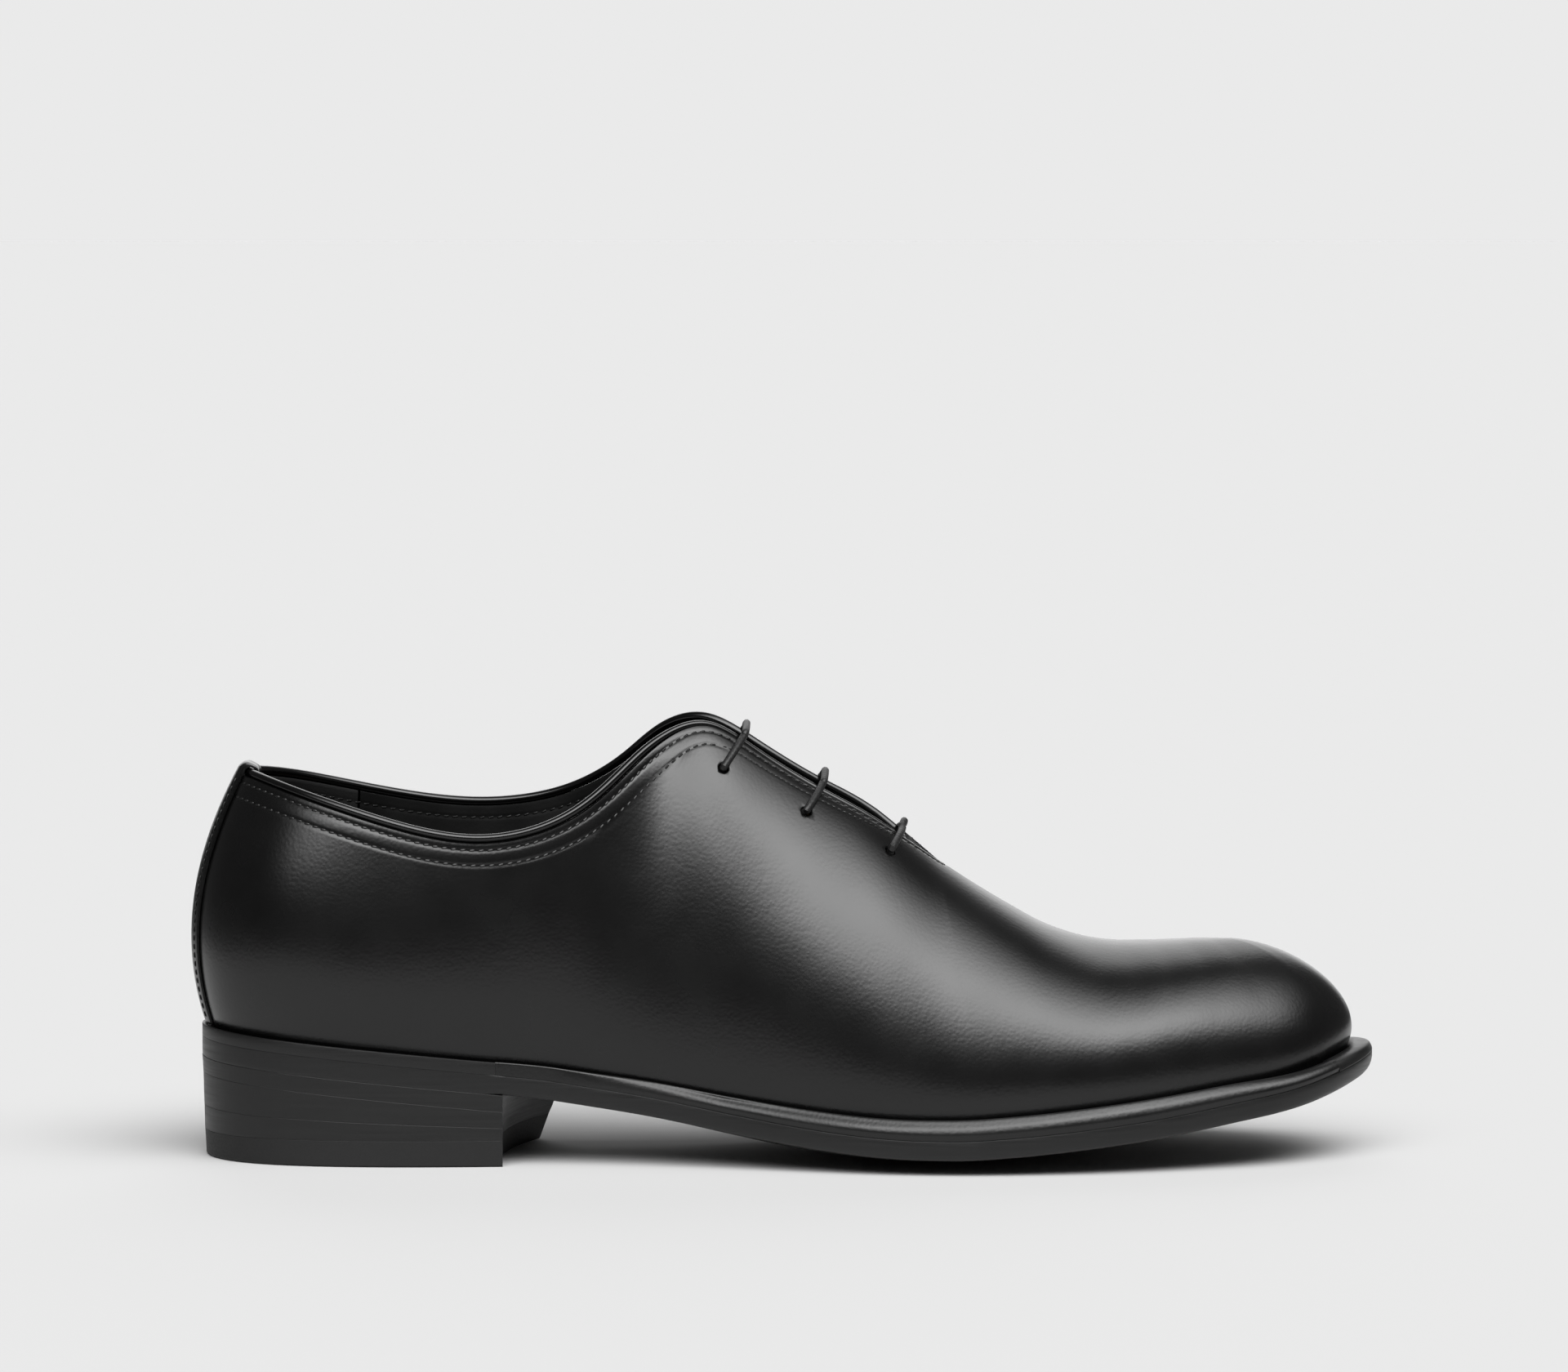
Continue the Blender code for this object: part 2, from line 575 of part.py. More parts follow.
def make_back_strip():
    """The strip over the back seam, which turns over the collar's binding and ends inside as a small tab."""
    thick = 1.0
    heights = np.concatenate([[0.04], HEIGHTS[1:]])
    half_width = np.interp(heights, [0.0, 0.5, 1.0], [0.57, 0.52, 0.56])
    across = np.linspace(-1.0, 1.0, 7)
    under, over = [], []
    for t, w in zip(heights, half_width):
        base, n = surface(across * w, [t])[:, 0], normals(across * w, [t])[:, 0]
        under.append(base + n * GAP)
        over.append(base + n * (GAP + thick))
    middle, past, n = edge_frame(across * half_width[-1])
    collar = (EDGE_DEPTH + LINING_THICK) / 2
    clear = GAP * 2 + 1.8
    for angle in np.radians([0, 45, 90, 135, 180]):
        for rows, reach in ((under, GAP), (over, GAP + thick)):
            rise = clear + reach * math.sin(angle) - GAP
            rows.append(middle + n * (collar + reach) * math.cos(angle) + past * rise)
    for rows, reach in ((under, GAP), (over, GAP + thick)):
        rows.append(middle - n * (collar + reach) - past * 6.0)
    skin("back_strip", np.array(over), np.array(under), "upper_leather")


# ---------------------------------------------------------------- tongue

TONGUE_HEIGHTS = np.array([0.78, 0.86, 0.93, 1.0])


def tongue_grid(depth):
    """Rows from the sewn lower end to the free top, each across the instep from outer to inner side."""
    rows = []
    for place in (TONGUE_SEWN_AT, 13.6, 13.0, 12.0, 11.0, 10.4):
        outer = layer_points([place], TONGUE_HEIGHTS, depth)[0]
        inner = layer_points([mirror(place)], TONGUE_HEIGHTS, depth)[0]
        crown = (outer[-1] + inner[-1]) / 2 + np.array([0.0, 0.0, 0.3])
        rows.append(np.concatenate([outer[:-1], [crown], inner[:-1][::-1]]))
    climb = rows[-1] - rows[-2]
    climb *= TONGUE_OVERHANG / np.linalg.norm(climb[3])
    rows.append(rows[-1] + climb)
    return np.array(rows)


def make_tongue(parent):
    pieces = (("tongue", TONGUE_DEPTH, TONGUE_THICK, "upper_leather"),
              ("tongue_lining", TONGUE_DEPTH + TONGUE_THICK + GAP, LINING_THICK, "lining_leather"))
    for name, depth, thick, finish in pieces:
        skin(name, tongue_grid(depth), tongue_grid(depth + thick), finish, parent=parent)


# ---------------------------------------------------------------- lace

def rounded(corners, trim, steps=4):
    """A path through the corners with each bend eased over `trim` millimetres on both sides."""
    path = [corners[0]]
    for before, corner, after in zip(corners, corners[1:], corners[2:]):
        back, ahead = before - corner, after - corner
        a = corner + back / np.linalg.norm(back) * min(trim, np.linalg.norm(back) * 0.45)
        b = corner + ahead / np.linalg.norm(ahead) * min(trim, np.linalg.norm(ahead) * 0.45)
        for step in range(steps + 1):
            f = step / steps
            path.append(a * (1 - f)**2 + corner * 2 * f * (1 - f) + b * f**2)
    path.append(corners[-1])
    return path


def half_bar(place, height):
    """Corners of a lace bar from the eyelet at (place, height) up to the gap between the facings.

    A taut cord over an arch stays in the plane square to the ridge, so each corner is sought in that plane.
    """
    eyelet = surface([place], [height])[0, 0]
    slope = ridge_slope(np.array([30.0]))[0]
    ridge_way = np.array([1.0, 0.0, slope]) / math.hypot(1.0, slope)
    candidates = np.sign(place) * np.linspace(9.6, 14.0, 221)
    corners = [eyelet + normals([place], [height])[0, 0] * LACE_OUTSIDE_HEIGHT]
    for t in (height + (1 - height) * 0.5, 1.0):
        points = surface(candidates, [t])[:, 0]
        at = [candidates[int(np.argmin(np.abs((points - eyelet) @ ridge_way)))]]
        corners.append(surface(at, [t])[0, 0] + normals(at, [t])[0, 0] * LACE_OUTSIDE_HEIGHT)
    past = edge_frame(at)[1][0]
    corners.append(corners[-1] + past * (GAP + 1.6) + normals(at, [1.0])[0, 0] * 0.3)
    return corners


def lace_corners():
    """Tail, three bars over the facings joined by two runs behind them, and the other tail."""
    at = {(side, name): (place, height) for side, name, place, height in eyelet_spots()}

    def behind(key):
        place, height = at[key]
        return layer_points([place], [height], LACE_INSIDE_DEPTH)[0, 0]

    def bar(side, other, name):
        return half_bar(*at[side, name]) + half_bar(*at[other, name])[::-1]

    def tail(key):
        place, height = at[key]
        heights = (height - 0.09, height - 0.19, height - 0.28, height - 0.37)
        depths = (LACE_INSIDE_DEPTH, TAIL_DEPTH, TAIL_DEPTH + 1.0, TAIL_DEPTH + 2.6)
        return [layer_points([place], [t], depth)[0, 0] for t, depth in zip(heights, depths)]

    corners = tail(("outer", "back"))[::-1] + [behind(("outer", "back"))]
    corners += bar("outer", "inner", "back")
    corners += [behind(("inner", "back")), behind(("inner", "middle"))]
    corners += bar("inner", "outer", "middle")
    corners += [behind(("outer", "middle")), behind(("outer", "front"))]
    corners += bar("outer", "inner", "front")
    corners += [behind(("inner", "front"))] + tail(("inner", "front"))
    return corners


def tube(name, path, radius, sides, finish):
    """A round cord along a path; its section is carried along without twisting."""
    path = [Vector(p) for p in path]
    ways = [(b - a).normalized() for a, b in zip(path, path[1:])]
    tangents = [ways[0]] + [(a + b).normalized() for a, b in zip(ways, ways[1:])] + [ways[-1]]
    side = tangents[0].orthogonal().normalized()
    bm = bmesh.new()
    rings = []
    for i, (point, way) in enumerate(zip(path, tangents)):
        if i:
            side = tangents[i - 1].rotation_difference(way) @ side
            side = (side - way * side.dot(way)).normalized()
        up = way.cross(side)
        angles = [2 * math.pi * k / sides for k in range(sides)]
        rings.append([bm.verts.new(point + (side * math.cos(a) + up * math.sin(a)) * radius) for a in angles])
    for a, b in zip(rings, rings[1:]):
        for k in range(sides):
            j = (k + 1) % sides
            bm.faces.new((a[k], a[j], b[j], b[k]))
    bm.faces.new(rings[0])
    bm.faces.new(rings[-1][::-1])
    return add_object(name, bm, finish)


def make_lace():
    corners = lace_corners()
    tube("lace", rounded(corners, 1.5), LACE_R, 6, "lace_cotton")
    ends = (("lace_tip_outer", corners[0], corners[1]), ("lace_tip_inner", corners[-1], corners[-2]))
    for name, end, before in ends:
        way = (end - before) / np.linalg.norm(end - before)
        tube(name, [end + way * GAP, end + way * (GAP + TIP_LENGTH)], TIP_R, 8, "lace_tip_resin")


# ---------------------------------------------------------------- bottom stock

def plan_loop(s, inset):
    """Plan points at places s, moved in from the feather line; a negative inset moves out."""
    plan, normal = feather_plan(s)
    return plan - normal * np.broadcast_to(inset, len(plan))[:, None]


def extension(s):
    plan, _ = feather_plan(s)
    return open_curve(SOLE_EXTENSION, plan[:, 0])


def slab(name, first, last, inset, top, bottom, finish):
    """Flat bottom stock between two stations, as rungs from side to side, measured below the feather line."""
    places = span(first, last)
    outer, inner = plan_loop(places, inset), plan_loop(mirror(places), inset)
    upper_rows, lower_rows = [], []
    for a, b in zip(outer, inner):
        plan = a + (b - a) * np.array([0.0, 0.5, 1.0])[:, None]
        height = feather_height(plan[:, 0])
        upper_rows.append(np.column_stack([plan, height - top]))
        lower_rows.append(np.column_stack([plan, height - bottom]))
    return skin(name, np.array(upper_rows), np.array(lower_rows), finish)


def sweep(name, s, section, finish):
    """A strip along the feather line. section(s) gives its corners as (outwards, depth) for each place."""
    plan, normal = feather_plan(s)
    bm = bmesh.new()
    rings = []
    for i, corners in enumerate(section(s)):
        ring = []
        for out, down in corners:
            at = plan[i] + normal[i] * out
            ring.append(bm.verts.new((at[0], at[1], feather_height(at[:1])[0] - down)))
        rings.append(ring)
    for a, b in zip(rings, rings[1:]):
        for k in range(len(a)):
            j = (k + 1) % len(a)
            bm.faces.new((a[k], a[j], b[j], b[k]))
    bm.faces.new(rings[0])
    bm.faces.new(rings[-1][::-1])
    return add_object(name, bm, finish)


def welt_section(s):
    """A thin tongue under the lasting margin and a rounded bead that stands up beside the upper."""
    plan, _ = feather_plan(s)
    rise = open_curve(BEAD_RISE, plan[:, 0])
    sections = []
    for out, up in zip(extension(s), rise):
        wide, top = out - 0.35, WELT_TOP - up
        middle = (top + WELT_BOTTOM) / 2
        sections.append([
            (-MARGIN_WIDTH, WELT_BOTTOM), (-MARGIN_WIDTH, WELT_TONGUE_TOP), (0.35, WELT_TONGUE_TOP),
            (0.35, 1.0), (0.35 + 0.2 * wide, top + 0.3), (0.35 + 0.58 * wide, top),
            (0.35 + 0.88 * wide, top + 0.9), (out, middle), (out - 0.1, WELT_BOTTOM - 0.8),
            (out - 0.4, WELT_BOTTOM),
        ])
    return sections


def rand_section(s):
    return [[(-MARGIN_WIDTH, WELT_BOTTOM), (-MARGIN_WIDTH, WELT_TONGUE_TOP), (0.35, WELT_TONGUE_TOP),
             (0.35, WELT_TOP), (out, WELT_TOP), (out, WELT_BOTTOM)] for out in extension(s)]


def rib_section(s):
    inside, outside = -MARGIN_WIDTH - GAP - 1.5, -MARGIN_WIDTH - GAP
    top, bottom = INSOLE_BOTTOM + 0.4, WELT_BOTTOM - 0.1
    return [[(inside, top), (outside, top), (outside, bottom), (inside, bottom)] for _ in s]


def sole_belly(x, width):
    """How far the middle of the tread hangs below its edges: flat under the heel, less towards the toe."""
    lengthways = np.clip((x + 55) / 60, 0, 1) * np.clip((150 - x) / 70, 0, 1)
    return SOLE_CROWN * lengthways * np.clip(width / 40, 0, 1)


def make_outsole():
    s = WHOLE_LOOP
    half = len(s) // 2
    out = extension(s)
    toe = np.clip((feather_plan(s)[0][:, 0] - 120.0) / 20.0, 0, 1)
    levels = ((0.0, OUTSOLE_TOP), (0.0, OUTSOLE_BOTTOM - 1.3 - 1.4 * toe), (1.2 + 1.2 * toe, OUTSOLE_BOTTOM))
    bm = bmesh.new()
    loops = []
    for inset, depth in levels:
        plan = plan_loop(s, inset - out)
        height = feather_height(plan[:, 0]) - depth
        loops.append([bm.verts.new((x, y, z)) for (x, y), z in zip(plan, height)])
    for a, b in zip(loops, loops[1:]):
        for i in range(len(s)):
            j = (i + 1) % len(s)
            bm.faces.new((a[i], a[j], b[j], b[i]))
    for loop, depth, crowned in ((loops[0], OUTSOLE_TOP, 0), (loops[-1], OUTSOLE_BOTTOM, 1)):
        rungs = [[loop[0]]]
        for i in range(1, half):
            a, b = loop[i], loop[-i]
            middle = []
            for share in (0.25, 0.5, 0.75):
                x, y = (a.co.xy * (1 - share) + b.co.xy * share)
                belly = crowned * sole_belly(x, abs(a.co.y - b.co.y)) * 4 * share * (1 - share)
                middle.append(bm.verts.new((x, y, float(feather_height(np.array([x]))[0]) - depth - belly)))
            rungs.append([a] + middle + [b])
        rungs.append([loop[half]])
        for low, high in zip(rungs, rungs[1:]):
            for i in range(4):
                corners = (low[min(i, len(low) - 1)], low[min(i + 1, len(low) - 1)],
                           high[min(i + 1, len(high) - 1)], high[min(i, len(high) - 1)])
                bm.faces.new(list(dict.fromkeys(corners)))
    outsole = add_object("outsole", bm, "sole_leather")
    cut_nail_holes(outsole)


# ---------------------------------------------------------------- heel

def heel_outline(height):
    """Plan of the heel at a height: around the back between the breast's corners, and across the breast."""
    outer = [s for s in GRID if 0 <= s < 8 and feather_plan([s])[0][0, 0] < HEEL_BREAST_X - 3]
    side = plan_loop(np.array(outer), -extension(np.array(outer)))
    other = plan_loop(mirror(outer), -extension(mirror(outer)))
    near = plan_at_x(1, HEEL_BREAST_X)
    far = plan_at_x(-1, HEEL_BREAST_X + BREAST_SKEW + BREAST_LEAN * height / HEEL_HEIGHT)
    breast = []
    for share in (0.0, 0.25, 0.5, 0.75, 1.0):
        at = near * (1 - share) + far * share
        breast.append(at - np.array([BREAST_HOLLOW * 4 * share * (1 - share), 0.0]))
    outline = np.array(list(other[:0:-1]) + list(side) + breast)
    back = np.clip((-110.0 - outline[:, 0]) / 40.0, 0, 1)
    outline[:, 0] += HEEL_LEAN * back * (1 - height / HEEL_HEIGHT)
    return outline


def plan_at_x(side, x):
    """The sole's edge at x, on the outer (1) or inner (-1) side."""
    places = side * np.linspace(4.0, 9.0, 501)
    points = plan_loop(places, -extension(places))
    return points[int(np.argmin(np.abs(points[:, 0] - x)))]


def sloped(depth):
    """A plane parallel to the heel seat, this far below the feather line."""
    return lambda x: 33.9 - (x + 150.0) * HEEL_SEAT_SLOPE - depth


def level(height):
    return lambda x: height


def between(back_height, front_height):
    return lambda x: back_height + (front_height - back_height) * (x + 150.0) / 85.0


def make_lift(name, top, bottom, finish):
    bm = bmesh.new()
    roof = [bm.verts.new((x, y, top(x))) for x, y in heel_outline(top(HEEL_BREAST_X))]
    floor = [bm.verts.new((x, y, bottom(x))) for x, y in heel_outline(bottom(HEEL_BREAST_X))]
    bm.faces.new(roof)
    bm.faces.new(floor[::-1])
    for i in range(len(roof)):
        j = (i + 1) % len(roof)
        bm.faces.new((roof[i], floor[i], floor[j], roof[j]))
    return add_object(name, bm, finish)


def cut_nail_holes(target, bottom=0.0):
    """Clearance holes for the heel nails, from above the insole down to `bottom`."""
    for i, (x, y) in enumerate(NAILS):
        cut(target, rod, f"{target.name}_nail_hole_{i + 1}", (x, y, bottom), (0, 0, 1), NAIL_R + GAP, 0.0,
            60.0 - bottom, "steel", 6)


def make_heel():
    split_back, split_front = 12.8, 9.4
    make_lift_with_holes("heel_lift_1", sloped(OUTSOLE_BOTTOM + GAP), sloped(12.6), 0.0)
    make_lift_with_holes("heel_lift_2", sloped(12.6 + GAP), between(split_back + GAP, split_front + GAP), 0.0)
    make_lift_with_holes("heel_lift_3", between(split_back, split_front), level(TOP_PIECE + GAP),
                         NAIL_END - GAP)
    make_lift("heel_top_piece", level(TOP_PIECE), level(0.0), "rubber")
    for i, (x, y) in enumerate(NAILS):
        top = float(feather_height(np.array([x]))[0]) - INSOLE_TOP
        rod(f"heel_nail_{i + 1}", (x, y, NAIL_END), (0, 0, 1), NAIL_R, 0.0, top - NAIL_END, "steel", 6)


def make_lift_with_holes(name, top, bottom, hole_bottom):
    cut_nail_holes(make_lift(name, top, bottom, "sole_leather"), hole_bottom)


def make_bottom():
    ends = (WELT_END, 2 * STATIONS - WELT_END)
    sweep("welt", span(*ends), welt_section, "welt_leather")
    sweep("heel_rand", span(-WELT_END + 0.08, WELT_END - 0.08), rand_section, "sole_leather")
    sweep("insole_rib", span(*ends), rib_section, "backer_cloth")
    insole = slab("insole", 0.0, float(STATIONS), INSOLE_INSET, INSOLE_TOP, INSOLE_BOTTOM, "insole_leather")
    cut_nail_holes(insole)
    slab("cork_filler", 9.6, 19.2, MARGIN_WIDTH + 2.2, INSOLE_BOTTOM + GAP, WELT_BOTTOM, "cork")
    slab("sock_liner", 0.0, float(STATIONS), SOCK_INSET, INSOLE_TOP - GAP - SOCK_THICK, INSOLE_TOP - GAP,
         "lining_leather")
    pad_bottom = INSOLE_TOP - 2 * GAP - SOCK_THICK
    slab("heel_pad", 0.35, 6.3, SOCK_INSET + 2.6, pad_bottom - PAD_THICK, pad_bottom, "lining_leather")
    make_shank()
    make_outsole()


def make_shank():
    """A steel strip in the cavity between insole and outsole, from the heel seat to behind the ball."""
    x = np.linspace(-104.0, -18.0, 8)
    half = np.interp(x, [-104.0, -18.0], [6.0, 5.0])
    middle = np.interp(x, [-104.0, -60.0, -18.0], [0.0, -1.2, -3.5])
    rows = [[(a, m - h, 0.0), (a, m + h, 0.0)] for a, h, m in zip(x, half, middle)]
    base = np.array(rows)
    base[..., 2] = feather_height(base[..., 0])
    drop = np.array([0.0, 0.0, 1.0])
    skin("shank", base - drop * 1.5, base - drop * 2.7, "steel")


# ---------------------------------------------------------------- the shoe

def clear_file():
    for old in list(bpy.data.objects):
        bpy.data.objects.remove(old, do_unlink=True)


def tongue_joint():
    """An empty on the line where the tongue is sewn in; the tongue swings about it, across the shoe."""
    place = layer_points([TONGUE_SEWN_AT], [1.0], TONGUE_DEPTH)[0, 0]
    joint = bpy.data.objects.new("tongue_hinge", None)
    joint.location = Vector(place) * MM
    bpy.context.scene.collection.objects.link(joint)
    return joint


def report_size():
    bpy.context.view_layer.update()
    solid = [o for o in bpy.context.scene.objects if o.type == "MESH" and not o.hide_render]
    corners = np.array([o.matrix_world @ v.co for o in solid for v in o.data.vertices]) / MM
    print("pieces:", len(solid), "from", corners.min(0).round(2), "to", corners.max(0).round(2))


clear_file()
make_upper()
make_lining()
make_stiffeners()
make_eyelets()
make_binding()
make_back_strip()
make_tongue(tongue_joint())
make_lace()
make_bottom()
make_heel()
report_size()
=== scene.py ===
# %% [markdown]
# # A wholecut oxford, from last to looks
#
# This is a right shoe whose upper is one piece of black calf, closed at the heel, with three pairs of
# eyelets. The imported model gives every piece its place. Here each piece that shows is made again with a
# finer mesh and a finish of its own, and the pieces that stay hidden inside only get a finish.

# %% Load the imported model
import math
import bmesh
import bpy
import numpy as np
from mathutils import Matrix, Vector


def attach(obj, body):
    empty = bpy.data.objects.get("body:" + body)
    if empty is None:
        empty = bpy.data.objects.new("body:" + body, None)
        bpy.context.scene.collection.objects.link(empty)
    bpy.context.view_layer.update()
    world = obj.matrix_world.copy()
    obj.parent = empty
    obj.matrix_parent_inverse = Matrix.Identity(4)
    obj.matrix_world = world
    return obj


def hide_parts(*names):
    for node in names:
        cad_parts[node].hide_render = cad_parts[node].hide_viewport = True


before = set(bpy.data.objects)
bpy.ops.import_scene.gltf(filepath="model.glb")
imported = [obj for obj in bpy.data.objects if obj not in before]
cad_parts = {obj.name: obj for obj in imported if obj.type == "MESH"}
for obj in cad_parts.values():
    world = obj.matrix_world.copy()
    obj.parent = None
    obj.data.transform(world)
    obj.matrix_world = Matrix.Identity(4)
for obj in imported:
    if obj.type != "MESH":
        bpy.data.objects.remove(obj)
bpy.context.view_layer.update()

# %% [markdown]
# ## The last
#
# A shoemaker starts from a last, the wooden form that the leather is pulled over. Here the last is a family
# of ribs. Each rib is a Bezier curve that stands on the feather line, where upper meets sole, and ends on
# the top line or on the ridge over the toes. One number, the place, says which rib: 0 is the heel and 21
# the toe on the outer side, and the same numbers with a minus sign are on the inner side. A smooth curve
# through a short table was chosen over a sculpted mesh, because every layer of the shoe can then be the
# same surface moved inwards. The sizes are in millimetres, and they are the same as the model's.

# %% Tables of the last
# Feather line: x, y on the outer side, then x, y on the inner side, from the heel to the toe.
FEATHER = (
    (-145.5, 0.0, -145.5, 0.0),
    (-141.5, -13.5, -141.5, 13.5),
    (-130.0, -23.0, -130.0, 23.0),
    (-113.0, -27.6, -113.0, 27.8),
    (-94.0, -28.8, -94.0, 28.4),
    (-75.0, -28.0, -75.0, 25.8),
    (-58.0, -26.8, -58.0, 22.0),
    (-44.0, -27.0, -44.0, 20.0),
    (-32.0, -28.4, -32.0, 19.6),
    (-20.0, -30.6, -20.0, 20.8),
    (-7.0, -33.7, -7.0, 23.8),
    (6.0, -37.2, 6.0, 28.0),
    (20.0, -40.8, 20.0, 33.4),
    (34.0, -43.2, 34.0, 38.8),
    (49.0, -44.0, 49.0, 42.8),
    (64.0, -43.2, 64.0, 44.2),
    (80.0, -41.2, 80.0, 43.2),
    (97.0, -37.2, 96.5, 40.2),
    (114.0, -31.4, 113.5, 34.4),
    (129.0, -23.6, 128.5, 26.8),
    (139.4, -12.0, 139.2, 16.4),
    (143.8, 2.5, 143.8, 2.5),
)
# Top line and facing edge, as far as the throat: x, y, z on the outer side, then on the inner side.
EDGE = (
    (-137.6, 0.0, 96.9, -137.6, 0.0, 96.9),
    (-134.0, -9.5, 96.0, -134.0, 9.5, 96.4),
    (-124.0, -18.5, 93.0, -124.0, 18.8, 94.4),
    (-109.5, -24.8, 88.4, -109.5, 25.0, 90.9),
    (-92.0, -27.6, 83.4, -92.0, 27.5, 87.6),
    (-75.5, -28.2, 81.3, -75.5, 27.6, 86.5),
    (-60.5, -27.2, 83.9, -60.5, 26.2, 88.4),
    (-48.5, -23.8, 90.0, -48.5, 22.9, 92.9),
    (-38.8, -18.8, 98.4, -38.8, 18.0, 99.6),
    (-30.0, -13.2, 106.0, -30.0, 13.0, 107.4),
    (-19.0, -8.6, 109.4, -19.0, 8.2, 110.5),
    (-6.0, -6.0, 102.4, -6.0, 4.8, 104.1),
    (9.0, -5.4, 93.3, 9.0, 4.2, 95.2),
    (24.0, -4.8, 85.1, 24.0, 3.8, 86.8),
    (39.5, -0.6, 74.5, 39.5, -0.6, 74.5),
)
# Where the ribs in front of the throat meet the ridge: station, x and y.
RIDGE_PLACE = (
    (14.0, 39.5, -0.6), (15.0, 57.0, 1.0), (16.0, 76.0, 1.8), (17.0, 92.0, 2.3), (18.0, 103.0, 2.5),
    (19.0, 110.0, 2.5), (20.0, 113.0, 2.5), (21.0, 113.0, 2.5),
)
RIDGE_HEIGHT = (
    (-20.0, 112.0), (0.0, 100.0), (20.0, 87.8), (30.0, 81.2), (39.5, 74.5), (48.0, 68.9),
    (57.0, 63.4), (66.0, 58.4), (76.0, 54.9), (84.0, 53.7),
    (92.0, 53.6), (100.0, 53.9), (107.0, 54.2), (113.0, 54.2), (116.0, 53.9),
)
# How each rib leaves the feather line (outwards, upwards) and reaches its top (from outwards, from below).
SWELL = (
    (7.5, 22.0, 10.5, 20.0),
    (7.5, 22.0, 10.0, 20.0),
    (7.5, 22.0, 9.0, 20.0),
    (6.5, 19.0, 5.5, 19.0),
    (5.5, 17.0, 4.0, 18.5),
    (4.8, 16.5, 3.0, 18.5),
    (4.1, 17.0, 3.0, 18.5),
    (3.5, 19.5, 4.0, 20.0),
    (3.4, 24.0, 6.5, 22.0),
    (3.4, 30.0, 10.2, 19.5),
    (3.7, 30.0, 15.0, 12.5),
    (4.2, 28.0, 18.5, 8.3),
    (4.6, 26.0, 21.0, 7.3),
    (5.0, 24.0, 23.0, 6.5),
    (5.3, 21.0, 27.5, 4.0),
    (5.1, 19.5, 31.5, 1.5),
    (4.5, 18.0, 32.0, 0.5),
    (3.8, 16.5, 30.0, 0.0),
    (3.4, 14.3, 25.0, 0.0),
    (3.7, 12.4, 20.5, 0.0),
    (4.4, 12.0, 17.2, 0.0),
    (5.5, 12.0, 17.0, 0.0),
)
STATIONS = len(FEATHER) - 1          # the toe's station; the heel's is 0
THROAT = 14                          # station where the two facings meet
# Height of the feather line along the shoe: a straight heel seat, the waist, the ball and the toe spring.
FEATHER_HEIGHT = (
    (-150.0, 33.9), (-80.0, 27.2), (-62.0, 25.4), (-50.0, 23.6), (-33.0, 21.0), (-12.0, 17.2),
    (8.0, 14.2), (26.0, 12.5), (42.0, 12.15), (58.0, 13.0), (76.0, 14.8), (94.0, 17.1), (112.0, 20.2),
    (130.0, 23.5), (145.0, 28.0), (153.0, 30.6),
)
# How far the sole stands out past the feather line.
SOLE_EXTENSION = (
    (-150.0, 2.2), (-130.0, 2.3), (-75.0, 2.2), (-35.0, 3.0), (10.0, 4.4), (50.0, 5.0), (110.0, 5.4),
    (145.0, 6.2),
)
# How far the welt's bead stands up past the feather line.
BEAD_RISE = ((-75.0, 0.0), (-20.0, 0.8), (20.0, 1.5), (60.0, 1.9), (105.0, 1.7), (128.0, 0.6), (145.0, 0.2))

# %% Read the tables with smooth curves


def closed_spline(rows, at):
    """Cubic spline with a continuous bend through closed rows, read at positions `at`, counted in rows."""
    rows = np.asarray(rows, float)
    count = len(rows)
    system = 4.0 * np.eye(count) + np.roll(np.eye(count), 1, 1) + np.roll(np.eye(count), -1, 1)
    slope = np.linalg.solve(system, 3.0 * (np.roll(rows, -1, 0) - np.roll(rows, 1, 0)))
    at = np.mod(np.asarray(at, float), count)
    low = np.floor(at).astype(int) % count
    high = (low + 1) % count
    f = (at - np.floor(at))[:, None]
    return (rows[low] * (2 * f**3 - 3 * f**2 + 1) + rows[high] * (3 * f**2 - 2 * f**3)
            + slope[low] * (f**3 - 2 * f**2 + f) + slope[high] * (f**3 - f**2))


def open_curve(knots, x):
    """Monotone smooth curve through (x, value) knots, which doesn't overshoot between them."""
    kx, kv = np.array(knots, float).T
    x = np.clip(np.asarray(x, float), kx[0], kx[-1])
    step = np.diff(kv) / np.diff(kx)
    slope = np.concatenate([[step[0]], (step[1:] + step[:-1]) / 2, [step[-1]]])
    turn = np.concatenate([[False], step[1:] * step[:-1] <= 0, [False]])
    slope[turn] = 0.0
    i = np.clip(np.searchsorted(kx, x) - 1, 0, len(kx) - 2)
    h = kx[i + 1] - kx[i]
    f = (x - kx[i]) / h
    return (kv[i] * (2 * f**3 - 3 * f**2 + 1) + kv[i + 1] * (3 * f**2 - 2 * f**3)
            + h * (slope[i] * (f**3 - 2 * f**2 + f) + slope[i + 1] * (f**3 - f**2)))


def feather_height(x):
    return open_curve(FEATHER_HEIGHT, x)


def around(table, width):
    """A table's outer-side rows from heel to toe, then its inner-side rows back to the heel, as one loop."""
    outer = [row[:width] for row in table]
    inner = [row[-width:] for row in table[-2:0:-1]]
    return outer + inner


def feather_plan(s):
    """Feather line points (x, y) and their outward unit normals at places s. Positive s is the outer side."""
    loop = around(FEATHER, 2)
    s = np.asarray(s, float)
    point = closed_spline(loop, s)
    ahead = closed_spline(loop, s + 0.01) - closed_spline(loop, s - 0.01)
    ahead /= np.linalg.norm(ahead, axis=1)[:, None]
    return point, np.stack([ahead[:, 1], -ahead[:, 0]], axis=1)


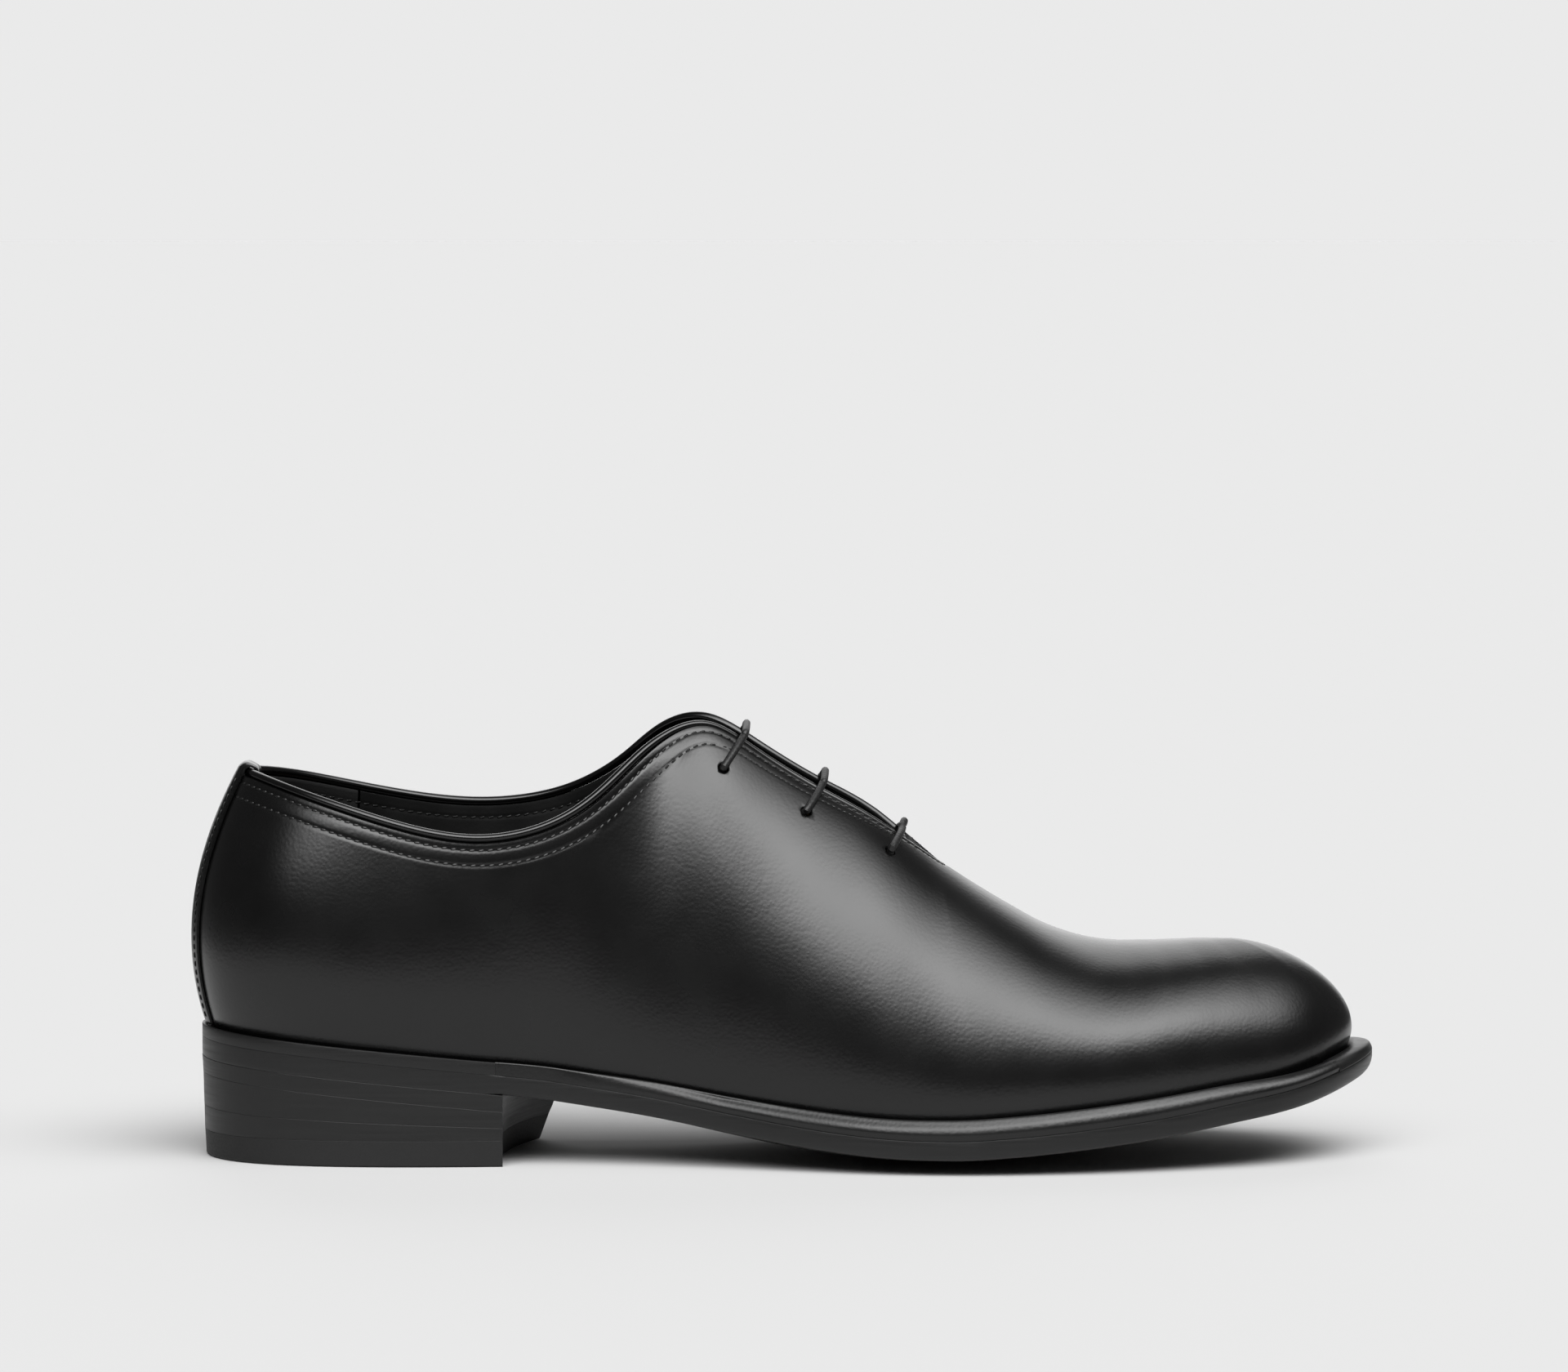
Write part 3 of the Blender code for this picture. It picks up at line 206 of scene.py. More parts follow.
def station(s):
    """How far around from the heel a place is, on either side: 0 at the heel and STATIONS at the toe."""
    return np.abs((np.asarray(s, float) + STATIONS) % (2 * STATIONS) - STATIONS)


def ridge_slope(x):
    return open_curve(RIDGE_HEIGHT, x + 0.5) - open_curve(RIDGE_HEIGHT, x - 0.5)


def rib_tops(s):
    """Top ends of the ribs. In front of the throat both sides share the ridge."""
    s = np.asarray(s, float)
    at = station(s)
    edge_loop = around(EDGE + EDGE[-1:] * (STATIONS + 1 - len(EDGE)), 3)
    top = closed_spline(edge_loop, s)
    joined = at >= THROAT - 1e-6
    x = open_curve([row[:2] for row in RIDGE_PLACE], at)
    y = open_curve([(row[0], row[2]) for row in RIDGE_PLACE], at)
    ridge = np.column_stack([x, y, open_curve(RIDGE_HEIGHT, x)])
    top[joined] = ridge[joined]
    return top


def surface(s, t):
    """Outer face of the upper: a row of points for every place in s. Heights t run from 0 to 1.

    They are one list for all rows, or one row of heights for each place.
    """
    plan, normal = feather_plan(s)
    foot = np.column_stack([plan, feather_height(plan[:, 0])])
    top = rib_tops(s)
    swell = closed_spline(around(SWELL, 4), s)
    out = np.column_stack([normal, np.zeros(len(normal))])
    up = np.array([0.0, 0.0, 1.0])
    arrive = out.copy()
    arrive[:, 2] = np.where(station(s) >= THROAT, ridge_slope(top[:, 0]) * out[:, 0], 0.0)
    low = foot + out * swell[:, 0:1] + up * swell[:, 1:2]
    high = top + arrive * swell[:, 2:3] - up * swell[:, 3:4]
    t = np.atleast_2d(np.asarray(t, float))[..., None]
    return (foot[:, None] * (1 - t)**3 + 3 * low[:, None] * t * (1 - t)**2
            + 3 * high[:, None] * t**2 * (1 - t) + top[:, None] * t**3)


def normals(s, t):
    """Outward unit normals of the surface. On the ridge, and at the throat, both sides share one normal."""
    s = np.asarray(s, float)
    inside = np.clip(np.asarray(t, float), 0.02, 0.985)
    along = surface(s + 0.05, inside) - surface(s - 0.05, inside)
    rising = surface(s, inside + 0.01) - surface(s, inside - 0.01)
    n = np.cross(along, rising)
    n /= np.linalg.norm(n, axis=2)[..., None]
    slope = ridge_slope(rib_tops(s)[:, 0])
    ridge = np.column_stack([-slope, np.zeros(len(s)), np.ones(len(s))])
    ridge /= np.linalg.norm(ridge, axis=1)[:, None]
    share = np.clip(station(s) - THROAT + 1, 0, 1)[:, None] * (np.atleast_2d(t) > 0.999)
    n += (ridge[:, None] - n) * share[..., None]
    return n / np.linalg.norm(n, axis=2)[..., None]


def layer_points(s, t, depth):
    """Surface points moved inwards by depth, which may differ from point to point."""
    return surface(s, t) - normals(s, t) * np.broadcast_to(depth, (len(s), len(t)))[..., None]


print("heel, top of the back:", surface([0.0], [1.0])[0, 0].round(1))

# %% [markdown]
# ## From grids to pieces
#
# Leather parts are sheets with a thickness. The simplest way to make one is two grids of points, an outer
# and an inner face, with a wall that joins their open edges. Points that fall together, as on the ridge
# where both sides of the shoe meet, are welded first, so no seam shows there.

# %% Make a piece
MM = 0.001
WELD = 0.002                         # points closer than this become one, in millimetres
SHARP = math.radians(38)             # steeper edges than this stay sharp


def piece(name, points, faces, finish, body, slot, *stands_for):
    """A mesh from points in millimetres, riding on a body and standing for some of the model's nodes."""
    mesh = bpy.data.meshes.new(name)
    mesh.from_pydata([tuple(p) for p in points], [], faces)
    bm = bmesh.new()
    bm.from_mesh(mesh)
    bmesh.ops.remove_doubles(bm, verts=bm.verts, dist=WELD)
    bmesh.ops.recalc_face_normals(bm, faces=bm.faces)
    bmesh.ops.scale(bm, vec=(MM, MM, MM), verts=bm.verts)
    bm.to_mesh(mesh)
    bm.free()
    mesh.shade_smooth()
    mesh.set_sharp_from_angle(angle=SHARP)
    made = bpy.data.objects.new(name, mesh)
    bpy.context.scene.collection.objects.link(made)
    mesh.materials.append(finish)
    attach(made, body)
    if stands_for:
        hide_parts(*stands_for)
    print(name, len(mesh.polygons), "faces")
    return made


def welded(grid, tag, known, points):
    """Numbers for the points of a grid, the same number where two points fall together."""
    numbers = np.empty(grid.shape[:2], int)
    for index in np.ndindex(numbers.shape):
        key = (tag, *np.round(grid[index], 3))
        if key not in known:
            known[key] = len(points)
            points.append(grid[index])
        numbers[index] = known[key]
    return numbers


def layered(outer, inner, closed=False):
    """Points and faces of a closed body between two grids of the same size."""
    known, points, faces = {}, [], []
    sheets = [welded(np.asarray(grid, float), tag, known, points) for tag, grid in enumerate((outer, inner))]
    used = {}
    for numbers, turn in zip(sheets, (1, -1)):
        rows = numbers.shape[0] if closed else numbers.shape[0] - 1
        for r in range(rows):
            low, high = numbers[r], numbers[(r + 1) % numbers.shape[0]]
            for i in range(numbers.shape[1] - 1):
                ring = list(dict.fromkeys((low[i], high[i], high[i + 1], low[i + 1])))
                if len(ring) > 2:
                    faces.append(tuple(ring[::turn]))
                    if turn == 1:
                        for a, b in zip(ring, ring[1:] + ring[:1]):
                            used[(a, b)] = used.get((a, b), 0) + 1
    partner = dict(zip(sheets[0].ravel(), sheets[1].ravel()))
    for a, b in used:
        if (b, a) not in used:
            wall = list(dict.fromkeys((b, a, partner[a], partner[b])))
            if len(wall) > 2:
                faces.append(tuple(wall))
    return points, faces


def tube(rings, closed=False):
    """Points and faces of a body swept through rings of points; open ends get a cap."""
    rings = np.asarray(rings, float)
    count, sides = rings.shape[:2]
    number = np.arange(count * sides).reshape(count, sides)
    faces = []
    for r in range(count if closed else count - 1):
        low, high = number[r], number[(r + 1) % count]
        for k in range(sides):
            j = (k + 1) % sides
            faces.append((low[k], low[j], high[j], high[k]))
    if not closed:
        faces += [tuple(number[0][::-1]), tuple(number[-1])]
    return rings.reshape(-1, 3), faces


def unit(v):
    """The same directions with a length of one."""
    v = np.asarray(v, float)
    return v / np.linalg.norm(v, axis=-1, keepdims=True)


def smooth_path(corners, steps=6):
    """A round path through corner points, with `steps` points from one corner to the next."""
    corners = np.asarray(corners, float)
    padded = np.vstack([2 * corners[0] - corners[1], corners, 2 * corners[-1] - corners[-2]])
    f = (np.arange(steps) / steps)[:, None]
    made = []
    for a, b, c, d in zip(padded, padded[1:], padded[2:], padded[3:]):
        made.append(0.5 * (2 * b + (c - a) * f + (2 * a - 5 * b + 4 * c - d) * f**2
                           + (3 * b - a - 3 * c + d) * f**3))
    return np.vstack(made + [corners[-1:]])


def resampled(path, spacing):
    """The same path with evenly spaced points, and its length."""
    path = np.asarray(path, float)
    run = np.concatenate([[0], np.cumsum(np.linalg.norm(np.diff(path, axis=0), axis=1))])
    count = max(2, int(round(run[-1] / spacing)) + 1)
    at = np.linspace(0, run[-1], count)
    points = np.column_stack([np.interp(at, run, path[:, k]) for k in range(path.shape[1])])
    return points, run[-1]


# %% [markdown]
# ## Finishes
#
# Each finish is a Principled shader with small patterns mixed from noise. Colours are written as the hex
# values that a colour chart gives, and one function turns them to the linear values that the renderer works
# in. One more small function adds any node, with its settings and its links.

# %% Colour and node helpers


def linear(code):
    """An sRGB hex colour as linear RGBA."""
    parts = [int(code[i:i + 2], 16) / 255 for i in (1, 3, 5)]
    return tuple(p / 12.92 if p <= 0.04045 else ((p + 0.055) / 1.055) ** 2.4 for p in parts) + (1.0,)


def add(tree, kind, links=None, **settings):
    """Adds a node. `links` gives each input either a value or another node's output."""
    made = tree.nodes.new(kind)
    for key, value in settings.items():
        setattr(made, key, value)
    for socket, source in (links or {}).items():
        if isinstance(source, bpy.types.NodeSocket):
            tree.links.new(source, made.inputs[socket])
        else:
            made.inputs[socket].default_value = source
    return made


def finish(name, roughness):
    """A new material, its node tree, its shader and a place on the object in metres."""
    made = bpy.data.materials.new(name)
    made.use_nodes = True
    tree = made.node_tree
    shader = tree.nodes["Principled BSDF"]
    shader.inputs["Roughness"].default_value = roughness
    shader.inputs["IOR"].default_value = 1.5
    place = add(tree, "ShaderNodeTexCoord").outputs["Object"]
    return made, tree, shader, place


def noise(tree, place, size_mm, detail=3.0, stretch=(1, 1, 1)):
    """A noise pattern whose grains are about size_mm across."""
    scale = [s / (size_mm * MM) for s in stretch]
    scaled = add(tree, "ShaderNodeMapping", {"Vector": place, "Scale": scale}).outputs[0]
    return add(tree, "ShaderNodeTexNoise", {"Vector": scaled, "Scale": 1.0, "Detail": detail}).outputs[0]


def tinted(tree, shader, pattern, dark, light):
    """Colours the shader between two hex colours."""
    ramp = add(tree, "ShaderNodeValToRGB", {"Fac": pattern})
    ramp.color_ramp.elements[0].position = 0.3
    ramp.color_ramp.elements[1].position = 0.7
    ramp.color_ramp.elements[0].color = linear(dark)
    ramp.color_ramp.elements[1].color = linear(light)
    tree.links.new(ramp.outputs[0], shader.inputs["Base Color"])


def raised(tree, shader, *heights):
    """Bumps in the surface: each height is a pattern and how far it rises in millimetres."""
    normal = None
    for pattern, rise in heights:
        bump = add(tree, "ShaderNodeBump", {"Height": pattern, "Distance": rise * MM, "Strength": 1.0})
        if normal:
            tree.links.new(normal, bump.inputs["Normal"])
        normal = bump.outputs[0]
    tree.links.new(normal, shader.inputs["Normal"])


def worn(tree, shader, pattern, low, high):
    """Roughness that drifts between two values."""
    spread = add(tree, "ShaderNodeMapRange", {"Value": pattern, "From Min": 0.3, "From Max": 0.7,
                                              "To Min": low, "To Max": high})
    tree.links.new(spread.outputs[0], shader.inputs["Roughness"])


# %% [markdown]
# ### Box calf
#
# The upper is calf that was dyed through, glazed and polished. Its grain is fine: pebbles less than a
# millimetre across with creases between them. That breaks a reflection into a soft satin sheen. Cell noise
# gives the pebbles and a slower noise makes them uneven. The grain is drawn slightly coarse so it shows.

# %% Box calf
GRAIN_MM = 0.85


def calf(name, dark, light, low, high, grain, rise):
    """Leather between two colours and two roughnesses, with pebbles of a size and a height in millimetres."""
    made, tree, shader, place = finish(name, low)
    scaled = add(tree, "ShaderNodeMapping", {"Vector": place, "Scale": [1 / (grain * MM)] * 3}).outputs[0]
    cells = add(tree, "ShaderNodeTexVoronoi", {"Vector": scaled, "Scale": 1.0}, feature="SMOOTH_F1")
    uneven = noise(tree, place, grain * 1.8, 2.0)
    slow = noise(tree, place, 14.0, 2.0)
    tinted(tree, shader, slow, dark, light)
    worn(tree, shader, slow, low, high)
    raised(tree, shader, (slow, 0.08), (cells.outputs[0], -rise), (uneven, rise * 0.25))
    return made


box_calf = calf("box_calf_glazed", "#050505", "#080808", 0.25, 0.28, GRAIN_MM, 0.022)
piping_calf = calf("piping_calf_polished", "#050505", "#080808", 0.16, 0.20, 0.5, 0.005)
print("grain", GRAIN_MM, "mm")

# %% [markdown]
# ### Linings, thread, cord and bottom leather
#
# The lining is calf with a plain matt grain. The heel grip is turned flesh side out, so it looks like
# suede. The thread is waxed, the cord is braided cotton with wax on it, the welt is a rounded grained
# strip, and the sole's edges are inked and then burnished with a hot iron, which leaves faint lines along
# the edge.

# %% Linings, thread, cord and bottom leather
lining_calf = calf("lining_calf_matt", "#0b0b0b", "#101010", 0.45, 0.55, 0.8, 0.02)
heel_suede = calf("heel_grip_suede", "#080808", "#0f0f0f", 0.75, 0.85, 0.5, 0.04)
welt_calf = calf("welt_grained_calf", "#060606", "#0a0a0a", 0.30, 0.36, 0.8, 0.03)


def spun(name, dark, light, low, high, size, rise, stretch=(1, 1, 1), slow_rise=0.0):
    """A finish whose colour, gloss and bumps all come from one stretched noise."""
    made, tree, shader, place = finish(name, low)
    strands = noise(tree, place, size, 3.0, stretch)
    slow = noise(tree, place, 20.0, 2.0)
    tinted(tree, shader, strands, dark, light)
    worn(tree, shader, strands, low, high)
    raised(tree, shader, (strands, rise), (slow, slow_rise))
    return made


waxed_thread = spun("waxed_linen_thread", "#060606", "#0e0e0e", 0.34, 0.45, 0.25, 0.03)
lace_cord = spun("waxed_cotton_cord", "#0e0e0e", "#1c1c1c", 0.40, 0.52, 0.45, 0.10)
cord_tip = spun("heat_set_cord_tip", "#0c0c0c", "#141414", 0.22, 0.30, 0.8, 0.02)
LINES_ALONG = (0.03, 0.03, 1)        # stretches the noise into lines along the edge
sole_edge = spun("inked_burnished_sole_leather", "#090909", "#0e0e0e", 0.36, 0.46, 0.5, 0.006, LINES_ALONG)
heel_leather = spun("inked_heel_leather", "#090909", "#0e0e0e", 0.40, 0.50, 0.6, 0.005, LINES_ALONG)
heel_rubber = spun("moulded_rubber", "#080808", "#0c0c0c", 0.55, 0.68, 0.6, 0.01)

# %% [markdown]
# ## The upper
#
# A wholecut's upper is one skin of leather with a single seam at the heel, hidden by the back strip. It is
# turned in at the top line, so the edge is round, and two rows of stitches pull shallow grooves into it.
# The grid gets close rows near the edge for that, and wide ones below.

# %% Rows of points that follow the edge
EDGE_ROWS = np.arange(0.0, 7.8, 0.38)      # distance from the top, in millimetres
LOWER_ROWS = 34
PLACES = np.unique(np.round(np.concatenate([
    np.arange(0, 42, 0.08), np.arange(13.2, 14.7, 0.03), 42 - np.arange(13.2, 14.7, 0.03), [14, 28]]), 4))
FIRST_ROW, SECOND_ROW, FACING_ROW = 2.0, 5.8, 5.0   # stitches, from the edge
UPPER_THICK = 1.2


def rib_heights(s):
    """For each rib the heights t of its points: close together at the top, wide apart below."""
    t = np.linspace(0, 1, 161)
    ribs = surface(s, t)[:, ::-1]
    steps = np.linalg.norm(np.diff(ribs, axis=1), axis=2)
    rows = []
    for length in np.concatenate([np.zeros((len(s), 1)), steps.cumsum(1)], axis=1):
        near = np.interp(EDGE_ROWS, length, t[::-1])
        rows.append(np.concatenate([np.linspace(0, near[-1], LOWER_ROWS, endpoint=False), near[::-1]]))
    return np.array(rows)


EDGE_LINE = surface(np.linspace(-14, 14, 1401), [1.0])[:, 0]


def from_edge(points):
    """Distance of each point from the top line and the facings."""
    flat = np.asarray(points).reshape(-1, 3)
    found = np.full(len(flat), 99.0)
    for start in range(0, len(flat), 4000):
        part = flat[start:start + 4000]
        near = ((part[:, None] - EDGE_LINE[None, ::2]) ** 2).sum(2)
        found[start:start + 4000] = np.sqrt(near.min(1))
    return found.reshape(np.asarray(points).shape[:-1])


def groove(distance, at, depth, width=0.42):
    """How deep the leather is pressed in beside a row of stitches."""
    return depth * np.exp(-((distance - at) / width) ** 2)


def sink(s, distance):
    """How far the leather is drawn in: round at its edge, grooved under the stitches."""
    corner = 0.6
    edge = corner - np.sqrt(np.clip(corner**2 - np.clip(corner - distance, 0, None) ** 2, 0, None))
    on_collar = np.clip((10.6 - station(s)) / 0.3, 0, 1)[:, None]
    rows = groove(distance, FIRST_ROW, 0.16) + groove(distance, SECOND_ROW, 0.16) * on_collar
    rows -= groove(distance, (FIRST_ROW + SECOND_ROW) / 2, 0.07, 1.3) * on_collar
    on_facing = (1 - on_collar) * (station(s)[:, None] < 13)
    return edge + rows + groove(distance, FACING_ROW, 0.06, 0.3) * on_facing


heights = rib_heights(PLACES)
outer_face = surface(PLACES, heights)
outward = normals(PLACES, heights)
distance = from_edge(outer_face)
outer_face = outer_face - outward * sink(PLACES, distance)[..., None]
inner_face = surface(PLACES, heights) - outward * UPPER_THICK
print("grid", outer_face.shape)

# %% Turn the leather under at the feather line
MARGIN_WIDTH, MARGIN_DEPTH = 11.0, 2.1


def margin(s, rows):
    """The lasting margin: rows of (inwards, down) from the feather line."""
    plan, normal = feather_plan(s)
    made = []
    for inwards, down in rows:
        moved = plan - normal * inwards
        made.append(np.column_stack([moved, feather_height(moved[:, 0]) - down]))
    return np.stack(made, axis=1)


under = margin(PLACES, ((MARGIN_WIDTH, MARGIN_DEPTH), (2.0, MARGIN_DEPTH), (0.3, 1.3)))
outer_face = np.concatenate([under, outer_face], axis=1)
inner_depth = MARGIN_DEPTH - UPPER_THICK
under = margin(PLACES, ((MARGIN_WIDTH, inner_depth), (2.2, inner_depth), (1.35, 0.6)))
inner_face = np.concatenate([under, inner_face], axis=1)
upper = piece("calf_upper", *layered(outer_face, inner_face, closed=True), box_calf, "shoe", "upper_leather",
              "wholecut_upper")

# %% [markdown]
# ### Lace holes
#
# The holes are punched, and the brass eyelets sit hidden behind the leather. A punch leaves a clean edge
# with a slightly pressed rim, so each hole is cut with a waisted cutter that is wider at the face.

# %% Punch the lace holes
EYELETS = (("front", 26.8), ("middle", 5.7), ("back", -15.1))
EYELET_FROM_EDGE = 11.5
FACING_PLACES = (9.6, 14.0)          # the facings lie between these places


def eyelet_spots():
    """Side, name, place and height of each eyelet, at a set distance down the ribs from the facing's edge."""
    found = []
    t = np.linspace(0.5, 1.0, 101)
    places = np.linspace(*FACING_PLACES, 177)
    for side, sign in (("outer", 1), ("inner", -1)):
        ribs = surface(places * sign, t)
        run = np.linalg.norm(np.diff(ribs[:, ::-1], axis=1), axis=2).cumsum(axis=1)
        rows = len(t) - 2 - (run < EYELET_FROM_EDGE).sum(axis=1)
        line = ribs[np.arange(len(places)), rows]
        for name, x in EYELETS:
            i = int(np.argmin(np.abs(line[:, 0] - x)))
            found.append((side, name, places[i] * sign, t[rows[i]]))
    return found


def turned(centre, way, profile, sides=24):
    """Rings of points around an axis: the profile gives radius and height along it."""
    turn = Vector((0, 0, 1)).rotation_difference(Vector(way))
    rings = []
    for radius, height in profile:
        ring = []
        for k in range(sides):
            a = 2 * math.pi * k / sides
            ring.append(Vector(centre) + turn @ Vector((radius * math.cos(a), radius * math.sin(a), height)))
        rings.append(ring)
    return rings


PUNCH = ((1.25, -2.2), (1.25, -0.45), (1.4, -0.15), (1.9, 0.06), (2.0, 0.6))   # radius and height
spots = eyelet_spots()
bm = bmesh.new()
for side, name, place, height in spots:
    centre, way = surface([place], [height])[0, 0], normals([place], [height])[0, 0]
    points, faces = tube(turned(centre, way, PUNCH))
    corners = [bm.verts.new(Vector(p) * MM) for p in points]
    for face in faces:
        bm.faces.new([corners[i] for i in face])
bmesh.ops.recalc_face_normals(bm, faces=bm.faces)
punch_mesh = bpy.data.meshes.new("punch")
bm.to_mesh(punch_mesh)
bm.free()
punch = bpy.data.objects.new("punch", punch_mesh)
bpy.context.scene.collection.objects.link(punch)


def carve(target, cutter):
    """Cuts with an exact boolean, and keeps the result as the piece's own mesh."""
    cut = target.modifiers.new("cut", "BOOLEAN")
    cut.operation, cut.solver, cut.object = "DIFFERENCE", "EXACT", cutter
    bpy.context.view_layer.update()
    result = bpy.data.meshes.new_from_object(target.evaluated_get(bpy.context.evaluated_depsgraph_get()))
    target.modifiers.clear()
    target.data = result
    target.data.shade_smooth()
    target.data.set_sharp_from_angle(angle=SHARP)


carve(upper, punch)
bpy.data.objects.remove(punch)
print("holes", len(spots), "faces", len(upper.data.polygons))

# %% [markdown]
# ### Piping
#
# The collar and both facings are finished with a rolled strip of thin calf, which turns around the end of
# the throat in one run. It is swept as a closed loop with a round section that leans with the edge.

# %% Roll the piping
EDGE_DEPTH, LINING_THICK, GAP = 2.2, 0.8, 0.3


def edge_frame(s):
    """The middle of the collar at its top, the way out past the edge and the way out of the skin."""
    s = np.asarray(s, float)
    edge = surface(s, [1.0])[:, 0]
    skin_out = normals(s, [1.0])[:, 0]
    along = unit(surface(s + 0.05, [1.0])[:, 0] - surface(s - 0.05, [1.0])[:, 0])
    past = unit(np.cross(skin_out, along))
    return edge - skin_out * (EDGE_DEPTH + LINING_THICK) / 2, past, skin_out


ROLL_WIDE, ROLL_HIGH, ROLL_LIFT = 1.2, 1.1, 0.85
PIPING_END = 13.3                    # place where the run leaves the facing and turns to the other side
THROAT_X = EDGE[-1][0]
s = np.linspace(-PIPING_END, PIPING_END, 1065)
middle, past, skin_out = edge_frame(s)
half = (middle[-1] - middle[0]) / 2
forward = unit(np.cross(unit(half), [0.0, 0.0, 1.0]))
forward = -forward if forward[0] < 0 else forward
forward = unit(forward + np.array([0, 0, ridge_slope(np.array([THROAT_X]))[0]]))
turn = np.linspace(0, math.pi, 26)[1:-1, None]
bend = (middle[-1] + middle[0]) / 2 + half * np.cos(turn) + forward * np.linalg.norm(half) * np.sin(turn)
bend_past = -(unit(half) * np.cos(turn) + forward * np.sin(turn))
share = (1 - np.cos(turn)) / 2
bend_skin = unit(skin_out[-1] * (1 - share) + skin_out[0] * share)
pairs = ((middle, bend), (past, bend_past), (skin_out, bend_skin))
middle, past, skin_out = (np.vstack(pair) for pair in pairs)
round_angles = np.linspace(0, 2 * math.pi, 20, endpoint=False)
rings = (middle[:, None] + past[:, None] * (GAP + ROLL_LIFT + ROLL_HIGH * np.sin(round_angles)[None, :, None])
         + skin_out[:, None] * ROLL_WIDE * np.cos(round_angles)[None, :, None])
piece("piping", *tube(rings, closed=True), piping_calf, "shoe", "binding_leather", "topline_binding")

# %% [markdown]
# ### Stitches
#
# The rows are lockstitch in waxed thread, about eleven stitches to the inch. Every stitch that shows is a
# short rounded bar, pulled down into the leather at both ends and turned a few degrees, because the thread
# crosses itself in the hole. They are real bars, and all the upper's rows share one mesh.

# %% Sew a row
STITCH_PITCH = 2.3


def stitch_bars(path, out, pitch=STITCH_PITCH, length=1.75, wide=0.30, high=0.26, slant=0.16):
    """Bars along a path. `out` is the way out of the leather at each point of the path."""
    both, _ = resampled(np.hstack([path, out]), pitch)
    middle = (both[1:, :3] + both[:-1, :3]) / 2
    ahead = unit(both[1:, :3] - both[:-1, :3])
    up = unit((both[1:, 3:] + both[:-1, 3:]) / 2)
    side = unit(np.cross(up, ahead))
    ahead = unit(ahead + side * slant)
    side = unit(np.cross(up, ahead))
    points, faces = [], []
    along = np.linspace(-1, 1, 7)
    fat = np.sqrt(np.clip(1 - along**4, 0.02, 1))
    heights = 0.02 - 0.16 * along**4
    a = np.linspace(0, 2 * math.pi, 8, endpoint=False)[:, None]
    for m, f, u, w in zip(middle, ahead, up, side):
        rings = [m + f * x * length / 2 + u * (rise + high * r * np.sin(a)) + w * wide * r * np.cos(a)
                 for x, r, rise in zip(along, fat, heights)]
        more, ring_faces = tube(rings)
        faces += [tuple(i + len(points) for i in face) for face in ring_faces]
        points += list(more)
    return points, faces


def row_at(distance_wanted, first, last, side, depth=0.0):
    """A path at a set distance from the edge, between two places, and the way out of the leather there."""
    s = np.linspace(first, last, 260) * side
    t = np.linspace(0.55, 1.0, 181)
    ribs = surface(s, t)
    away = from_edge(ribs)
    wanted = np.broadcast_to(distance_wanted, len(s))
    path, out = [], []
    for k in range(len(s)):
        if away[k].min() > wanted[k]:
            continue
        at = np.interp(wanted[k], away[k][::-1][:140], t[::-1][:140])
        n = normals([s[k]], [at])[0, 0]
        path.append(surface([s[k]], [at])[0, 0] - n * depth)
        out.append(n)
    return np.array(path), np.array(out)


bars, bar_faces = [], []


def sew(path, out, **how):
    """Adds a row to the stitches that are being collected."""
    more, faces = stitch_bars(path, out, **how)
    bar_faces.extend(tuple(i + len(bars) for i in face) for face in faces)
    bars.extend(more)


ROWS_FROM, ROWS_TO, COLLAR_TO = 0.62, 13.6, 10.25             # places where the rows start and end
FACING_FROM, FACING_TO, THROAT_TO = 10.35, 13.3, 14.16
facing_line = np.interp(np.linspace(FACING_FROM, FACING_TO, 260), [FACING_FROM, 10.6, 12.6, FACING_TO],
                        [5.4, FACING_ROW, FACING_ROW, 3.4])
for side in (1, -1):
    sew(*row_at(FIRST_ROW, ROWS_FROM, ROWS_TO, side, 0.14))
    sew(*row_at(SECOND_ROW, ROWS_FROM, COLLAR_TO, side, 0.14))
    sew(*row_at(facing_line, FACING_FROM, FACING_TO, side, 0.05),
        pitch=1.5, length=1.15, wide=0.17, high=0.17, slant=0.1)
down, down_way = row_at(FIRST_ROW, ROWS_TO + 0.02, THROAT_TO, 1, 0.12)
back_up, up_way = row_at(FIRST_ROW, ROWS_TO + 0.02, THROAT_TO, -1, 0.12)
sew(np.vstack([down, back_up[::-1]]), np.vstack([down_way, up_way[::-1]]),
    pitch=1.6, length=1.2, wide=0.2, high=0.2)
piece("upper_stitches", bars, bar_faces, waxed_thread, "shoe", "lace_cotton")

# %% [markdown]
# ## Linings
#
# Inside, calf lines the quarters and the vamp, and a suede heel grip covers the back. Their top edges are
# turned in behind the piping and caught by a row of stitches.

# %% Line the shoe
LINING_ROW = 3.0                     # stitches, from the edge


def lining_depth(s, t):
    """The lining lies close behind the leather at its edges, and behind a stiffener everywhere else."""
    ahead = np.clip((station(s)[:, None] - 14) / 1.5, 0, 1)
    below = np.clip((0.62 - np.asarray(t, float)[None, :]) / 0.12, 0, 1)
    return EDGE_DEPTH + np.maximum(ahead, below)


